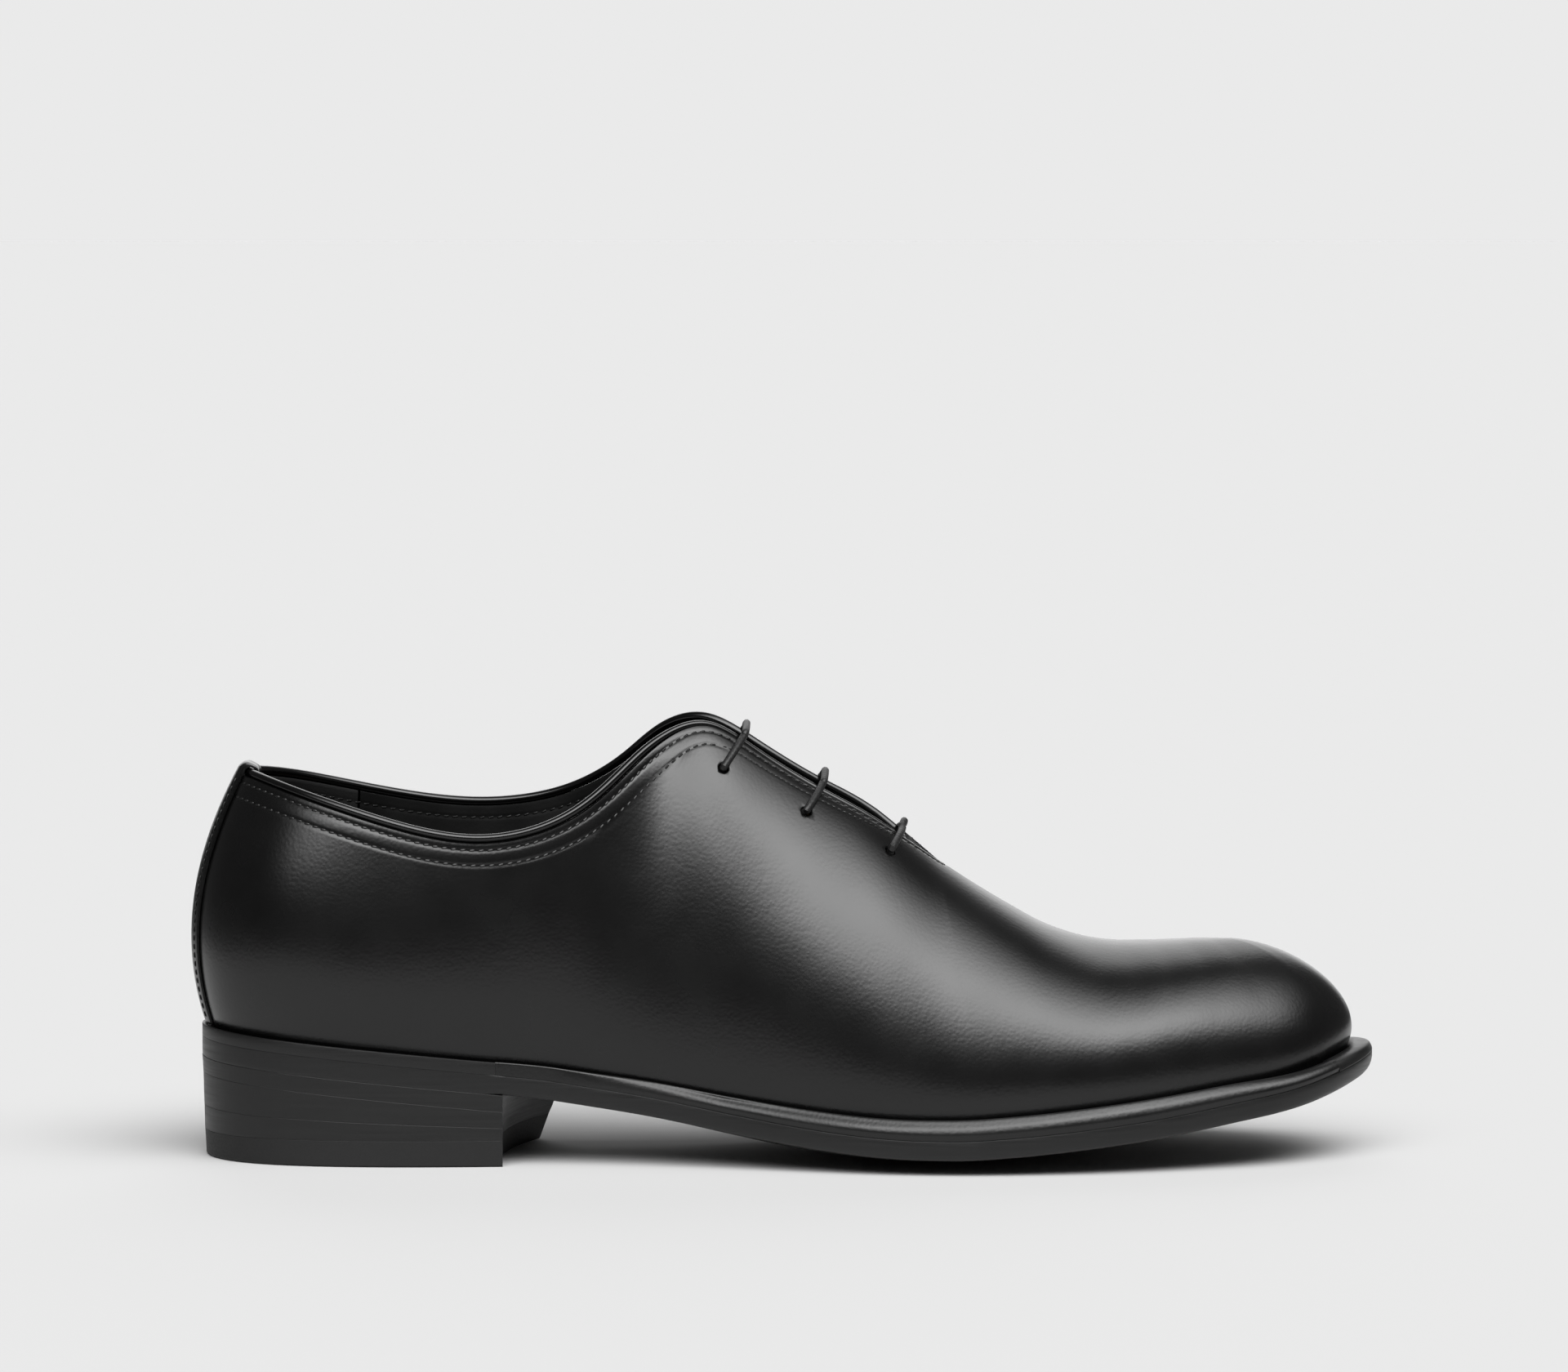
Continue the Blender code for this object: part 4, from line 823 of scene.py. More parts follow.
LINING_T = np.concatenate([[0.036], np.linspace(0.08, 0.92, 24), np.linspace(0.93, 1.0, 12)])
for name, stands_for, first, last, leather in (
        ("heel_grip", "heel_grip_lining", -2.98, 2.98, heel_suede),
        ("quarter_lining_left", "quarter_lining_inner", 28.3, 38.98, lining_calf),
        ("quarter_lining_right", "quarter_lining_outer", 3.02, 13.7, lining_calf),
        ("vamp_lining_calf", "vamp_lining", 14.02, 27.98, lining_calf)):
    s = np.linspace(first, last, 90)
    depth = lining_depth(s, LINING_T)
    face = surface(s, LINING_T)
    way = normals(s, LINING_T)
    near = from_edge(face)
    pulled = groove(near, LINING_ROW, 0.12, 0.5) + 0.3 * np.clip(1 - near / 0.5, 0, 1) ** 2
    outer = face - way * depth[..., None]
    inner = face - way * (depth + LINING_THICK - pulled)[..., None]
    piece(name, *layered(outer, inner), leather, "shoe", "lining_leather", stands_for)

bars, bar_faces = [], []
for side in (1, -1):
    path, out = row_at(LINING_ROW, 0.3, 13.2, side, EDGE_DEPTH + LINING_THICK - 0.1)
    sew(path, -out, pitch=2.3, length=1.7, wide=0.22, high=0.2)
piece("lining_stitches", bars, bar_faces, waxed_thread, "shoe", "lace_cotton")

# %% [markdown]
# ## Back strip
#
# A narrow strip covers the seam at the heel. It runs up the back, turns over the piping and ends inside the
# collar, where a heel tab is sewn down. Its edges are skived thin, so its section tapers to the sides.

# %% Cover the back seam
STRIP_THICK, STRIP_ROW = 1.0, 0.8    # the stitches lie at this share of the half width
strip_t = np.concatenate([np.linspace(0.004, 0.94, 42), np.linspace(0.95, 1.0, 6)])
strip_half = np.interp(strip_t, [0.0, 0.5, 1.0], [0.57, 0.52, 0.56])
across = np.linspace(-1.0, 1.0, 25)
taper = STRIP_THICK * (1 - 0.55 * np.abs(across) ** 6) - groove(np.abs(across), STRIP_ROW, 0.16, 0.06)
under, over = [], []
for t, w in zip(strip_t, strip_half):
    base, way = surface(across * w, [t])[:, 0], normals(across * w, [t])[:, 0]
    under.append(base + way * (GAP - 0.12))
    over.append(base + way * (GAP + taper[:, None]))
middle, past, way = edge_frame(across * strip_half[-1])
collar = (EDGE_DEPTH + LINING_THICK) / 2
clear = GAP * 2 + 1.8
for angle in np.radians(np.linspace(4, 176, 15)):
    for rows, reach in ((under, GAP), (over, GAP + taper[:, None])):
        rise = clear + reach * math.sin(angle) - GAP * (1 - 0.6 * abs(math.cos(angle)))
        rise = rise * (1 - abs(math.cos(angle)) ** 5 * 0.5)
        rows.append(middle + way * (collar + reach) * math.cos(angle) + past * rise)
for drop in (2.0, 4.0, 6.0):
    for rows, reach in ((under, GAP), (over, GAP + taper[:, None])):
        rows.append(middle - way * (collar + reach) - past * drop)
piece("back_strip_calf", *layered(over, under), box_calf, "shoe", "upper_leather", "back_strip")
bars, bar_faces = [], []
for side in (-STRIP_ROW, STRIP_ROW):
    line, way_out = [], []
    for t, w in zip(strip_t[1:-2], strip_half[1:-2]):
        way_out.append(normals([side * w], [t])[0, 0])
        line.append(surface([side * w], [t])[0, 0] + way_out[-1] * (GAP + STRIP_THICK * 0.85))
    sew(np.array(line), np.array(way_out), pitch=2.2, length=1.6, wide=0.2, high=0.2)
piece("back_strip_stitches", bars, bar_faces, waxed_thread, "shoe", "lace_cotton")

# %% [markdown]
# ## Tongue
#
# The tongue lies under the lacing and is sewn in at the end of the throat, so it swings on that line. It is
# calf with a lining of its own, and both ride on the tongue's own body.

# %% Make the tongue
TONGUE_DEPTH, TONGUE_THICK, TONGUE_OVERHANG, TONGUE_SEWN_AT = 6.6, 1.2, 9.0, 14.3


def tongue_grid(depth, narrow=0.0):
    """Rows from the sewn lower end to the free top, each across the instep from outer to inner side."""
    tongue_t = np.linspace(0.78 + narrow, 1.0, 12)
    rows = []
    for place in np.concatenate([[TONGUE_SEWN_AT], np.linspace(14.0, 10.4, 30)]):
        outer = layer_points([place], tongue_t, depth)[0]
        inner = layer_points([-place], tongue_t, depth)[0]
        crown = (outer[-1] + inner[-1]) / 2 + np.array([0.0, 0.0, 0.3])
        rows.append(np.concatenate([outer[:-1], [crown], inner[:-1][::-1]]))
    climb = unit(rows[-1][11] - rows[-4][11])
    end = rows[-1]
    bulge = np.linspace(-1, 1, end.shape[0])[:, None] ** 4
    for step in np.linspace(0, TONGUE_OVERHANG, 8)[1:]:
        rows.append(end + climb * step * (1 - 0.35 * bulge * step / TONGUE_OVERHANG))
    return np.array(rows)


for name, stands_for, depth, thick, leather, slot in (
        ("tongue_calf", "tongue", TONGUE_DEPTH, TONGUE_THICK, box_calf, "upper_leather"),
        ("tongue_lining_calf", "tongue_lining", TONGUE_DEPTH + TONGUE_THICK + GAP, LINING_THICK, lining_calf,
         "lining_leather")):
    piece(name, *layered(tongue_grid(depth), tongue_grid(depth + thick)), leather, "tongue", slot, stands_for)

# %% [markdown]
# ## Lace
#
# The lace is a thin round cord of waxed, braided cotton. It is laced straight: three bars cross the
# facings, and the runs between them are hidden behind the leather. It is held along its whole length, so it
# is no free cord. It is a tube on a smooth path. Its braid is shown by a twisted section: eight soft ribs
# that wind around it.

# %% Lace the shoe
LACE_R, LACE_UNDER, LACE_OVER, TAIL_DEPTH = 0.95, 5.2, 1.25, 5.5


def half_bar(place, height):
    """Corners of half a bar, from the eyelet to the gap between the facings, square to the ridge."""
    eyelet = surface([place], [height])[0, 0]
    slope = ridge_slope(np.array([30.0]))[0]
    ridge_way = np.array([1.0, 0.0, slope]) / math.hypot(1.0, slope)
    candidates = np.sign(place) * np.linspace(*FACING_PLACES, 221)
    way = normals([place], [height])[0, 0]
    corners = [eyelet + way * 0.2, eyelet + way * LACE_OVER]
    for t in (height + (1 - height) * 0.5, 1.0):
        points = surface(candidates, [t])[:, 0]
        at = [candidates[int(np.argmin(np.abs((points - eyelet) @ ridge_way)))]]
        corners.append(surface(at, [t])[0, 0] + normals(at, [t])[0, 0] * LACE_OVER)
    past = edge_frame(at)[1][0]
    corners.append(corners[-1] + past * (GAP + 1.6) + normals(at, [1.0])[0, 0] * 0.3)
    return corners


def lace_corners():
    """The lace's way from one end to the other, through all six eyelets."""
    at = {(side, name): (place, height) for side, name, place, height in spots}

    def behind(key):
        place, height = at[key]
        return layer_points([place], [height], LACE_UNDER)[0, 0]

    def bar(side, other, name):
        return half_bar(*at[side, name]) + half_bar(*at[other, name])[::-1]

    def tail(key):
        place, height = at[key]
        drops = ((0.09, LACE_UNDER), (0.19, TAIL_DEPTH), (0.28, TAIL_DEPTH + 1.0), (0.37, TAIL_DEPTH + 2.6))
        return [layer_points([place], [height - drop], depth)[0, 0] for drop, depth in drops]

    corners = tail(("outer", "back"))[::-1] + [behind(("outer", "back"))]
    corners += bar("outer", "inner", "back") + [behind(("inner", "back")), behind(("inner", "middle"))]
    corners += bar("inner", "outer", "middle") + [behind(("outer", "middle")), behind(("outer", "front"))]
    corners += bar("outer", "inner", "front") + [behind(("inner", "front"))] + tail(("inner", "front"))
    return corners


def cord_rings(path, radius, sides=24, ribs=0, rise=0.0, turn_mm=3.0):
    """Rings along a path, carried along without twisting; `ribs` strands wind around it."""
    path = np.asarray(path, float)
    tangent = unit(np.gradient(path, axis=0))
    side = unit(np.cross(tangent[0], [0.3, 0.5, 0.8]))
    rings, run = [], 0.0
    a = np.linspace(0, 2 * math.pi, sides, endpoint=False)
    for i, (point, way) in enumerate(zip(path, tangent)):
        side = unit(side - way * np.dot(side, way))
        up = np.cross(way, side)
        run += np.linalg.norm(path[i] - path[i - 1]) if i else 0.0
        wave = 1 + rise * np.cos(ribs * a / 2 + run / turn_mm * 2 * math.pi) * np.cos(
            ribs * a / 2 - run / turn_mm * 2 * math.pi)
        r = np.broadcast_to(radius, len(path))[i] * wave
        rings.append(point + side * (r * np.cos(a))[:, None] + up * (r * np.sin(a))[:, None])
    return rings


corners = lace_corners()
route, lace_length = resampled(smooth_path(corners, 10), 0.35)
piece("lace_braid", *tube(cord_rings(route, LACE_R, 16, 8, 0.05)), lace_cord, "shoe", "lace_cotton", "lace")
print("lace length", round(lace_length), "mm")
for name, stands_for, end, before in (("lace_end_outer", "lace_tip_outer", corners[0], corners[1]),
                                      ("lace_end_inner", "lace_tip_inner", corners[-1], corners[-2])):
    way = unit(end - before)
    tip = np.array([end + way * x for x in (0.3, 0.5, 1.2, 4.0, 8.0, 12.5, 13.8, 14.2)])
    radius = np.array([1.0, 1.15, 1.2, 1.2, 1.15, 1.1, 0.9, 0.5])
    piece(name, *tube(cord_rings(tip, radius)), cord_tip, "shoe", "lace_tip_resin", stands_for)

# %% [markdown]
# ## Welt
#
# The welt is a strip sewn to the upper's margin all along the forepart and the waist. Its outer edge is a
# rounded bead of grained leather that stands up beside the upper. Around the toe a wider, smooth piece
# takes over, with a slanted join. Both are swept along the feather line with a smooth section.

# %% Lay the welt
WELT_TOP, WELT_TONGUE_TOP, WELT_BOTTOM, WELT_END = 0.2, 2.4, 3.45, 5.15
TOE_JOIN = 19.55


def swept(s, sections):
    """Rings along the feather line from (outwards, depth) corners, given for each place."""
    plan, normal = feather_plan(s)
    rings = []
    for point, way, corners in zip(plan, normal, sections):
        at = point + way * corners[:, :1]
        rings.append(np.column_stack([at, feather_height(at[:, 0]) - corners[:, 1]]))
    return np.array(rings)


def bead_sections(s, smooth_toe=False):
    """The thin inner part under the margin and the bead that stands up beside the upper.

    Behind the waist the bead flattens into the square profile of the rand.
    """
    plan, _ = feather_plan(s)
    rounded = np.clip((np.minimum(s, 42 - s) - 6.0) / 3.4, 0, 1)
    sections = []
    for x, out, share in zip(plan[:, 0], open_curve(SOLE_EXTENSION, plan[:, 0]), rounded):
        top = WELT_TOP - open_curve(BEAD_RISE, [x])[0]
        wide = out - 0.35
        if smooth_toe:
            bead = [(0.35, 1.0), (0.35 + 0.1 * wide, top + 0.2), (0.35 + 0.3 * wide, top + 0.02),
                    (0.35 + 0.58 * wide, top + 0.4), (out - 0.95, top + 1.25), (out - 0.3, top + 2.3),
                    (out - 0.02, WELT_BOTTOM - 0.3), (out - 0.02, WELT_BOTTOM)]
        else:
            tall = WELT_BOTTOM - top
            bead = np.array([(0.35, 1.3), (0.35 + 0.2 * wide, top + 0.9), (0.35 + 0.42 * wide, top + 0.05),
                             (0.35 + 0.58 * wide, top + 0.08), (out - 1.15, top + 0.2 * tall),
                             (out - 0.42, top + 0.42 * tall), (out - 0.03, top + 0.7 * tall),
                             (out - 0.3, WELT_BOTTOM)])
            square = np.array([(0.35, 1.3), (0.35 + 0.2 * wide, top + 0.8), (0.35 + 0.42 * wide, top + 0.05),
                               (0.35 + 0.65 * wide, top), (out - 0.1, top + 0.06), (out, top + 0.3 * tall),
                               (out, top + 0.7 * tall), (out - 0.02, WELT_BOTTOM)])
            bead = list(square + (bead - square) * share)
        curve = smooth_path(bead, 5)
        curve[:, 0] = np.minimum(curve[:, 0], out)
        inner = [(-MARGIN_WIDTH, WELT_BOTTOM), (-MARGIN_WIDTH, WELT_TONGUE_TOP), (0.33, WELT_TONGUE_TOP)]
        sections.append(np.vstack([inner, curve]))
    return sections


def welt_piece(name, first, last, leather, smooth_toe, *stands_for):
    """A stretch of the welt between two places."""
    s = np.linspace(first, last, max(40, int((last - first) * 22)))
    piece(name, *tube(swept(s, bead_sections(s, smooth_toe))), leather, "shoe", "welt_leather", *stands_for)


welt_piece("welt_bead_outer", WELT_END, TOE_JOIN, welt_calf, False, "welt")
welt_piece("welt_bead_inner", 42 - TOE_JOIN, 42 - WELT_END, welt_calf, False)
welt_piece("welt_toe", TOE_JOIN + 0.01, 42 - TOE_JOIN - 0.01, sole_edge, True)

# %% [markdown]
# ## Outsole and rand
#
# The outsole is a single leather sole. Its edge is cut square, inked black and burnished, with the bottom
# corner taken off. The rand carries the welt's line around the heel seat. The forepart's sole stitching
# lies in a cut channel that was closed over it, so no stitches show underneath.

# %% Cut the sole
OUTSOLE_TOP, OUTSOLE_BOTTOM, SOLE_CROWN = 3.5, 8.4, 3.68


def plan_loop(s, inset):
    """The feather line in plan, moved inwards."""
    plan, normal = feather_plan(s)
    return plan - normal * np.broadcast_to(inset, len(plan))[:, None]


def extension(s):
    """How far the sole stands out at places s."""
    return open_curve(SOLE_EXTENSION, feather_plan(s)[0][:, 0])


def sole_belly(x, width):
    """How far the middle of the tread hangs below its edges: flat under the heel, less towards the toe."""
    lengthways = np.clip((x + 55) / 60, 0, 1) * np.clip((150 - x) / 70, 0, 1)
    return SOLE_CROWN * lengthways * np.clip(width / 40, 0, 1)


# The edge from top to bottom: inwards, down.
SOLE_EDGE = ((0.16, OUTSOLE_TOP), (0.06, OUTSOLE_TOP + 0.06), (0.0, OUTSOLE_TOP + 0.25), (0.0, 5.0),
             (0.0, 6.2), (0.02, 7.1), (0.10, 7.6), (0.32, 8.05), (0.7, 8.3), (1.2, OUTSOLE_BOTTOM))
half_places = np.concatenate([np.linspace(0, 18, 181), np.linspace(18.08, 21, 38)])
loop_places = np.concatenate([half_places, 42 - half_places[-2:0:-1]])
edge_x = feather_plan(loop_places)[0][:, 0]
under_heel, at_toe = np.clip((-70.0 - edge_x) / 4, 0, 1), np.clip((edge_x - 120) / 20, 0, 1)
loops = []
for inset, depth in SOLE_EDGE:
    rounder = 1.5 * at_toe * np.clip((depth - 4.8) / 3.6, 0, 1) ** 2
    wanted = inset * (1 - 0.93 * under_heel) + rounder
    plan = plan_loop(loop_places, wanted - extension(loop_places))
    loops.append(np.column_stack([plan, feather_height(plan[:, 0]) - depth]))
points = list(np.vstack(loops))
count = len(loop_places)
faces = []
for level in range(len(loops) - 1):
    for i in range(count):
        j = (i + 1) % count
        faces.append((level * count + i, level * count + j, (level + 1) * count + j, (level + 1) * count + i))
shares = np.linspace(0, 1, 33)
for level, crowned in ((0, 0), (len(loops) - 1, 1)):
    rungs = [[level * count]]
    for i in range(1, len(half_places) - 1):
        a, b = loops[level][i], loops[level][-i]
        rung = [level * count + i]
        width = np.linalg.norm(a[:2] - b[:2])
        for share in shares[1:-1]:
            x, y = a[:2] * (1 - share) + b[:2] * share
            belly = crowned * sole_belly(x, width) * 4 * share * (1 - share)
            rung.append(len(points))
            points.append((x, y, feather_height(np.array([x]))[0] - SOLE_EDGE[level][1] - belly))
        rungs.append(rung + [level * count + count - i])
    rungs.append([level * count + len(half_places) - 1])
    for low, high in zip(rungs, rungs[1:]):
        for k in range(len(shares) - 1):
            ring = (low[min(k, len(low) - 1)], low[min(k + 1, len(low) - 1)],
                    high[min(k + 1, len(high) - 1)], high[min(k, len(high) - 1)])
            faces.append(tuple(dict.fromkeys(ring)))
piece("leather_outsole", points, faces, sole_edge, "shoe", "sole_leather", "outsole")

s = np.linspace(-WELT_END + 0.002, WELT_END - 0.002, 160)
sections = [np.array([
    (-MARGIN_WIDTH, WELT_BOTTOM), (-MARGIN_WIDTH, WELT_TONGUE_TOP), (0.33, WELT_TONGUE_TOP), (0.33, 1.5),
    (0.7, WELT_TOP + 0.8), (1.15, WELT_TOP + 0.1), (out - 0.35, WELT_TOP), (out - 0.08, WELT_TOP + 0.12),
    (out, WELT_TOP + 0.4), (out, 1.9), (out, 3.3), (out - 0.03, WELT_BOTTOM)]) for out in extension(s)]
piece("heel_rand_leather", *tube(swept(s, sections)), sole_edge, "shoe", "sole_leather", "heel_rand")

# %% [markdown]
# ## Heel
#
# The heel is three leather lifts and a rubber top piece, nailed, glued and cut to one outline. Its sides
# are inked with the sole's edge, so the joints are only faint lines. The front, the breast, is scooped and
# skewed.

# %% Stack the heel
HEEL_BREAST_X, BREAST_SKEW, BREAST_HOLLOW, TOP_PIECE = -70.3, 7.4, 4.0, 6.5
BREAST_LEAN, HEEL_LEAN, HEEL_HEIGHT = 6.3, 1.0, 17.4
HEEL_BACK_X, HEEL_LONG, SEAT_HEIGHT, SEAT_SLOPE = -150.0, 85.0, 33.9, 0.0957
GLUE_LINE = 0.01                     # half the gap between two lifts


def breast_corner(side, x):
    """Place and plan point on the sole's edge that lie at x."""
    places = side * np.linspace(4.0, 9.0, 5001)
    edge = plan_loop(places, -extension(places))
    i = int(np.argmin(np.abs(edge[:, 0] - x)))
    return places[i], edge[i]


def heel_outline(inset, height):
    """Plan of the heel at a height. The breast's inner corner leans forward, and the back leans in."""
    near_place, near = breast_corner(1, HEEL_BREAST_X)
    far_place, far = breast_corner(-1, HEEL_BREAST_X + BREAST_SKEW + BREAST_LEAN * height / HEEL_HEIGHT)
    places = np.linspace(far_place, near_place, 121)
    side = plan_loop(places, inset - extension(places))
    share = np.linspace(0, 1, 21)[1:-1, None]
    breast = side[-1] * (1 - share) + side[0] * share
    breast[:, 0] -= BREAST_HOLLOW * 4 * share[:, 0] * (1 - share[:, 0])
    outline = np.vstack([side, breast])
    outline[:, 0] += HEEL_LEAN * np.clip((-110 - outline[:, 0]) / 40, 0, 1) * (1 - height / HEEL_HEIGHT)
    return outline


def lift(name, top, bottom, leather, slot, stands_for, foot=0.05):
    """A lift with a slightly eased top and bottom edge."""
    rings = []
    for inset, level_at, shift in ((0.03, top, 0.0), (0.0, top, -0.05), (0.0, top, -0.12), (0.0, top, -0.5),
                                   (0.0, bottom, foot + 0.5), (0.0, bottom, foot * 2), (0.0, bottom, foot),
                                   (foot * 0.8, bottom, 0.0)):
        outline = heel_outline(inset, level_at(HEEL_BREAST_X) + shift)
        rings.append(np.column_stack([outline, level_at(outline[:, 0]) + shift]))
    piece(name, *tube(rings), leather, "shoe", slot, stands_for)


def below_seat(depth):
    """A level at a depth under the heel seat, as a function of x."""
    return lambda x: SEAT_HEIGHT - (x - HEEL_BACK_X) * SEAT_SLOPE - depth


def between(back, front):
    """A level that changes evenly from the back of the heel to its front, as a function of x."""
    return lambda x: back + (front - back) * (x - HEEL_BACK_X) / HEEL_LONG


def wedge(shift):
    """The underside of the wedge, which takes up the slope of the seat."""
    return between(12.8 + shift, 9.4 + shift)


lift("heel_lift_top", below_seat(OUTSOLE_BOTTOM + 0.03), below_seat(12.6 - GLUE_LINE), heel_leather,
     "sole_leather", "heel_lift_1")
lift("heel_lift_wedge", below_seat(12.6 + GLUE_LINE), wedge(GLUE_LINE), heel_leather,
     "sole_leather", "heel_lift_2")
lift("heel_lift_bottom", wedge(-GLUE_LINE), between(TOP_PIECE + 0.03, TOP_PIECE + 0.03), heel_leather,
     "sole_leather", "heel_lift_3")
lift("heel_rubber", between(TOP_PIECE, TOP_PIECE), between(0.0, 0.0), heel_rubber,
     "rubber", "heel_top_piece", 0.4)

# %% [markdown]
# ## Footbed
#
# A full sock liner covers the insole, with a thin foam pad under the leather at the heel. The pad is a
# crowned, closed form that thins to nothing at its edge, where it is sewn down.

# %% Lay the sock liner and the heel pad
INSOLE_TOP, SOCK_THICK, SOCK_INSET, PAD_THICK = -0.9, 0.8, 4.8, 3.0


def footbed(first, last, inset, top, bottom, swell):
    """Rungs from side to side; swell(share along, share across) lifts the upper face."""
    rungs = 90
    places = np.linspace(first, last, rungs)
    outer, inner = plan_loop(places, inset), plan_loop(-places, inset)
    uppers, lowers = [], []
    for k, (a, b) in enumerate(zip(outer, inner)):
        share = np.linspace(0, 1, 29)[:, None]
        plan = a + (b - a) * share
        base = feather_height(plan[:, 0])
        uppers.append(np.column_stack([plan, base - top + swell(k / (rungs - 1), share[:, 0])]))
        lowers.append(np.column_stack([plan, base - bottom]))
    return layered(np.array(uppers), np.array(lowers))


sock_top = INSOLE_TOP - GAP - SOCK_THICK
piece("sock_liner_calf", *footbed(0.02, 20.98, SOCK_INSET, sock_top, INSOLE_TOP - GAP,
                                  lambda u, v: -0.25 * np.abs(2 * v - 1) ** 12),
      lining_calf, "shoe", "lining_leather", "sock_liner")


def pad_swell(u, v):
    """The pad thins to its edge, and starts from the flat top that footbed() gives it."""
    crown = (1 - np.abs(2 * v - 1) ** 3.0) ** 0.6 * (1 - abs(2 * u - 1) ** 6) ** 0.6
    return -PAD_THICK + 0.5 + (PAD_THICK - 0.5) * crown


pad_bottom = sock_top - GAP
pad_shape = footbed(0.35, 6.3, SOCK_INSET + 2.6, pad_bottom - PAD_THICK, pad_bottom, pad_swell)
pad = piece("heel_pad_padded", *pad_shape, lining_calf, "shoe", "lining_leather", "heel_pad")

# %% [markdown]
# ## Hidden pieces
#
# The insole, its rib, the cork, the shank, the stiffeners, the eyelets and the nails are inside the shoe.
# The model's own pieces stay, with finishes for what they are: leather board, woven backer, granulated
# cork, vegetable tanned leather, spring steel and brass.

# %% Finish the hidden pieces
hidden = {
    "stiffener": spun("cellulose_leatherboard", "#8d7458", "#a98f70", 0.8, 0.9, 1.2, 0.08),
    "backer_cloth": spun("woven_cotton_backer", "#b5b0a2", "#cfcabb", 0.9, 1.0, 0.5, 0.10, (1, 0.3, 1)),
    "insole_leather": spun("vegetable_tanned_shoulder", "#a9825a", "#bf9a70", 0.6, 0.75, 1.5, 0.05),
    "cork": spun("granulated_cork", "#5e4128", "#a07a4e", 0.85, 0.95, 2.2, 0.25),
    "steel": spun("rolled_spring_steel", "#9a9b9d", "#b4b5b6", 0.30, 0.42, 1.0, 0.01, (0.1, 1, 1)),
    "brass": spun("pressed_brass", "#b8904a", "#cba662", 0.25, 0.35, 1.0, 0.01),
}
for name in ("steel", "brass"):
    shader = hidden[name].node_tree.nodes["Principled BSDF"]
    shader.inputs["Metallic"].default_value = 1.0
slots = {"heel_counter": "stiffener", "toe_puff": "stiffener", "insole": "insole_leather",
         "cork_filler": "cork", "shank": "steel"}
for name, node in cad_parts.items():
    kind = slots.get(name)
    if name.startswith("eyelet"):
        kind = "brass"
    if name.startswith("heel_nail"):
        kind = "steel"
    if name.startswith(("side_backer", "facing_stay", "insole_rib")):
        kind = "backer_cloth"
    if kind:
        for material_slot in node.material_slots:
            material_slot.material = hidden[kind]
        print(name, "->", hidden[kind].name)

# %% [markdown]
# ## Studio
#
# Black polished leather shows little but reflections, so the light is what draws the shape. One large soft
# light hangs above and in front of the shoe, a pale wall glows behind it, and the room on the other side is
# dark. The light is a sky painted by direction, soft at its edges, so it falls evenly on a floor of any
# size.

# %% Light the studio
SOFTBOX_X, SOFTBOX_Y, SOFTBOX_TURN = 0.02, -0.93, 0.68    # where it crosses a ceiling one metre up; radians
SOFTBOX_LONG, SOFTBOX_WIDE = (1.7, 0.4), (0.85, 0.0)      # from dark to full, half of its length and width
SOFTBOX_RISE = (0.1, 0.3)                                 # it fades out near the horizon
WALL_ASIDE, WALL_HIGH = (0.55, 0.22), (0.88, 0.70)        # the wall's sides and top, from dark to full
WALL_AHEAD = (0.0, 0.2)                                   # only the side behind the shoe has a wall
SOFTBOX, WALL, ROOM, BACKGROUND = 8.5, 1.5, 0.08, "#eaeaea"

world = bpy.data.worlds.new("studio")
bpy.context.scene.world = world
world.use_nodes = True
sky = world.node_tree
sky.nodes.clear()
way = add(sky, "ShaderNodeTexCoord").outputs["Generated"]


def facing(direction):
    """How much the sky's direction agrees with a given one."""
    product = add(sky, "ShaderNodeVectorMath", {0: way, 1: tuple(direction)}, operation="DOT_PRODUCT")
    return product.outputs["Value"]


def maths(operation, a, b=0.0):
    """One sum on values or on other nodes' outputs."""
    return add(sky, "ShaderNodeMath", {0: a, 1: b}, operation=operation).outputs[0]


def ramp(value, low, high):
    """0 below low and 1 above high, smooth between; the other way round if low is the larger."""
    return add(sky, "ShaderNodeMapRange", {"Value": value, "From Min": low, "From Max": high},
               interpolation_type="SMOOTHSTEP").outputs[0]


long_way = (math.cos(SOFTBOX_TURN), math.sin(SOFTBOX_TURN), 0.0)
wide_way = (-long_way[1], long_way[0], 0.0)
long_at = SOFTBOX_X * long_way[0] + SOFTBOX_Y * long_way[1]
wide_at = SOFTBOX_X * wide_way[0] + SOFTBOX_Y * wide_way[1]
height_up = facing((0, 0, 1))
ceiling = maths("MAXIMUM", height_up, 0.05)
u = maths("ABSOLUTE", maths("SUBTRACT", maths("DIVIDE", facing(long_way), ceiling), long_at))
v = maths("ABSOLUTE", maths("SUBTRACT", maths("DIVIDE", facing(wide_way), ceiling), wide_at))
box = maths("MULTIPLY", maths("MULTIPLY", ramp(u, *SOFTBOX_LONG), ramp(v, *SOFTBOX_WIDE)),
            ramp(height_up, *SOFTBOX_RISE))
backwards = facing((0, 1, 0))
aside = maths("DIVIDE", maths("ABSOLUTE", facing((1, 0, 0))), maths("MAXIMUM", backwards, 0.05))
back = maths("MULTIPLY", maths("MULTIPLY", ramp(aside, *WALL_ASIDE), ramp(backwards, *WALL_AHEAD)),
             ramp(height_up, *WALL_HIGH))
light = maths("ADD", maths("MULTIPLY", box, SOFTBOX), maths("ADD", maths("MULTIPLY", back, WALL), ROOM))
seen = add(sky, "ShaderNodeLightPath").outputs["Is Camera Ray"]
glow = add(sky, "ShaderNodeBackground", {"Color": (1, 1, 1, 1), "Strength": light})
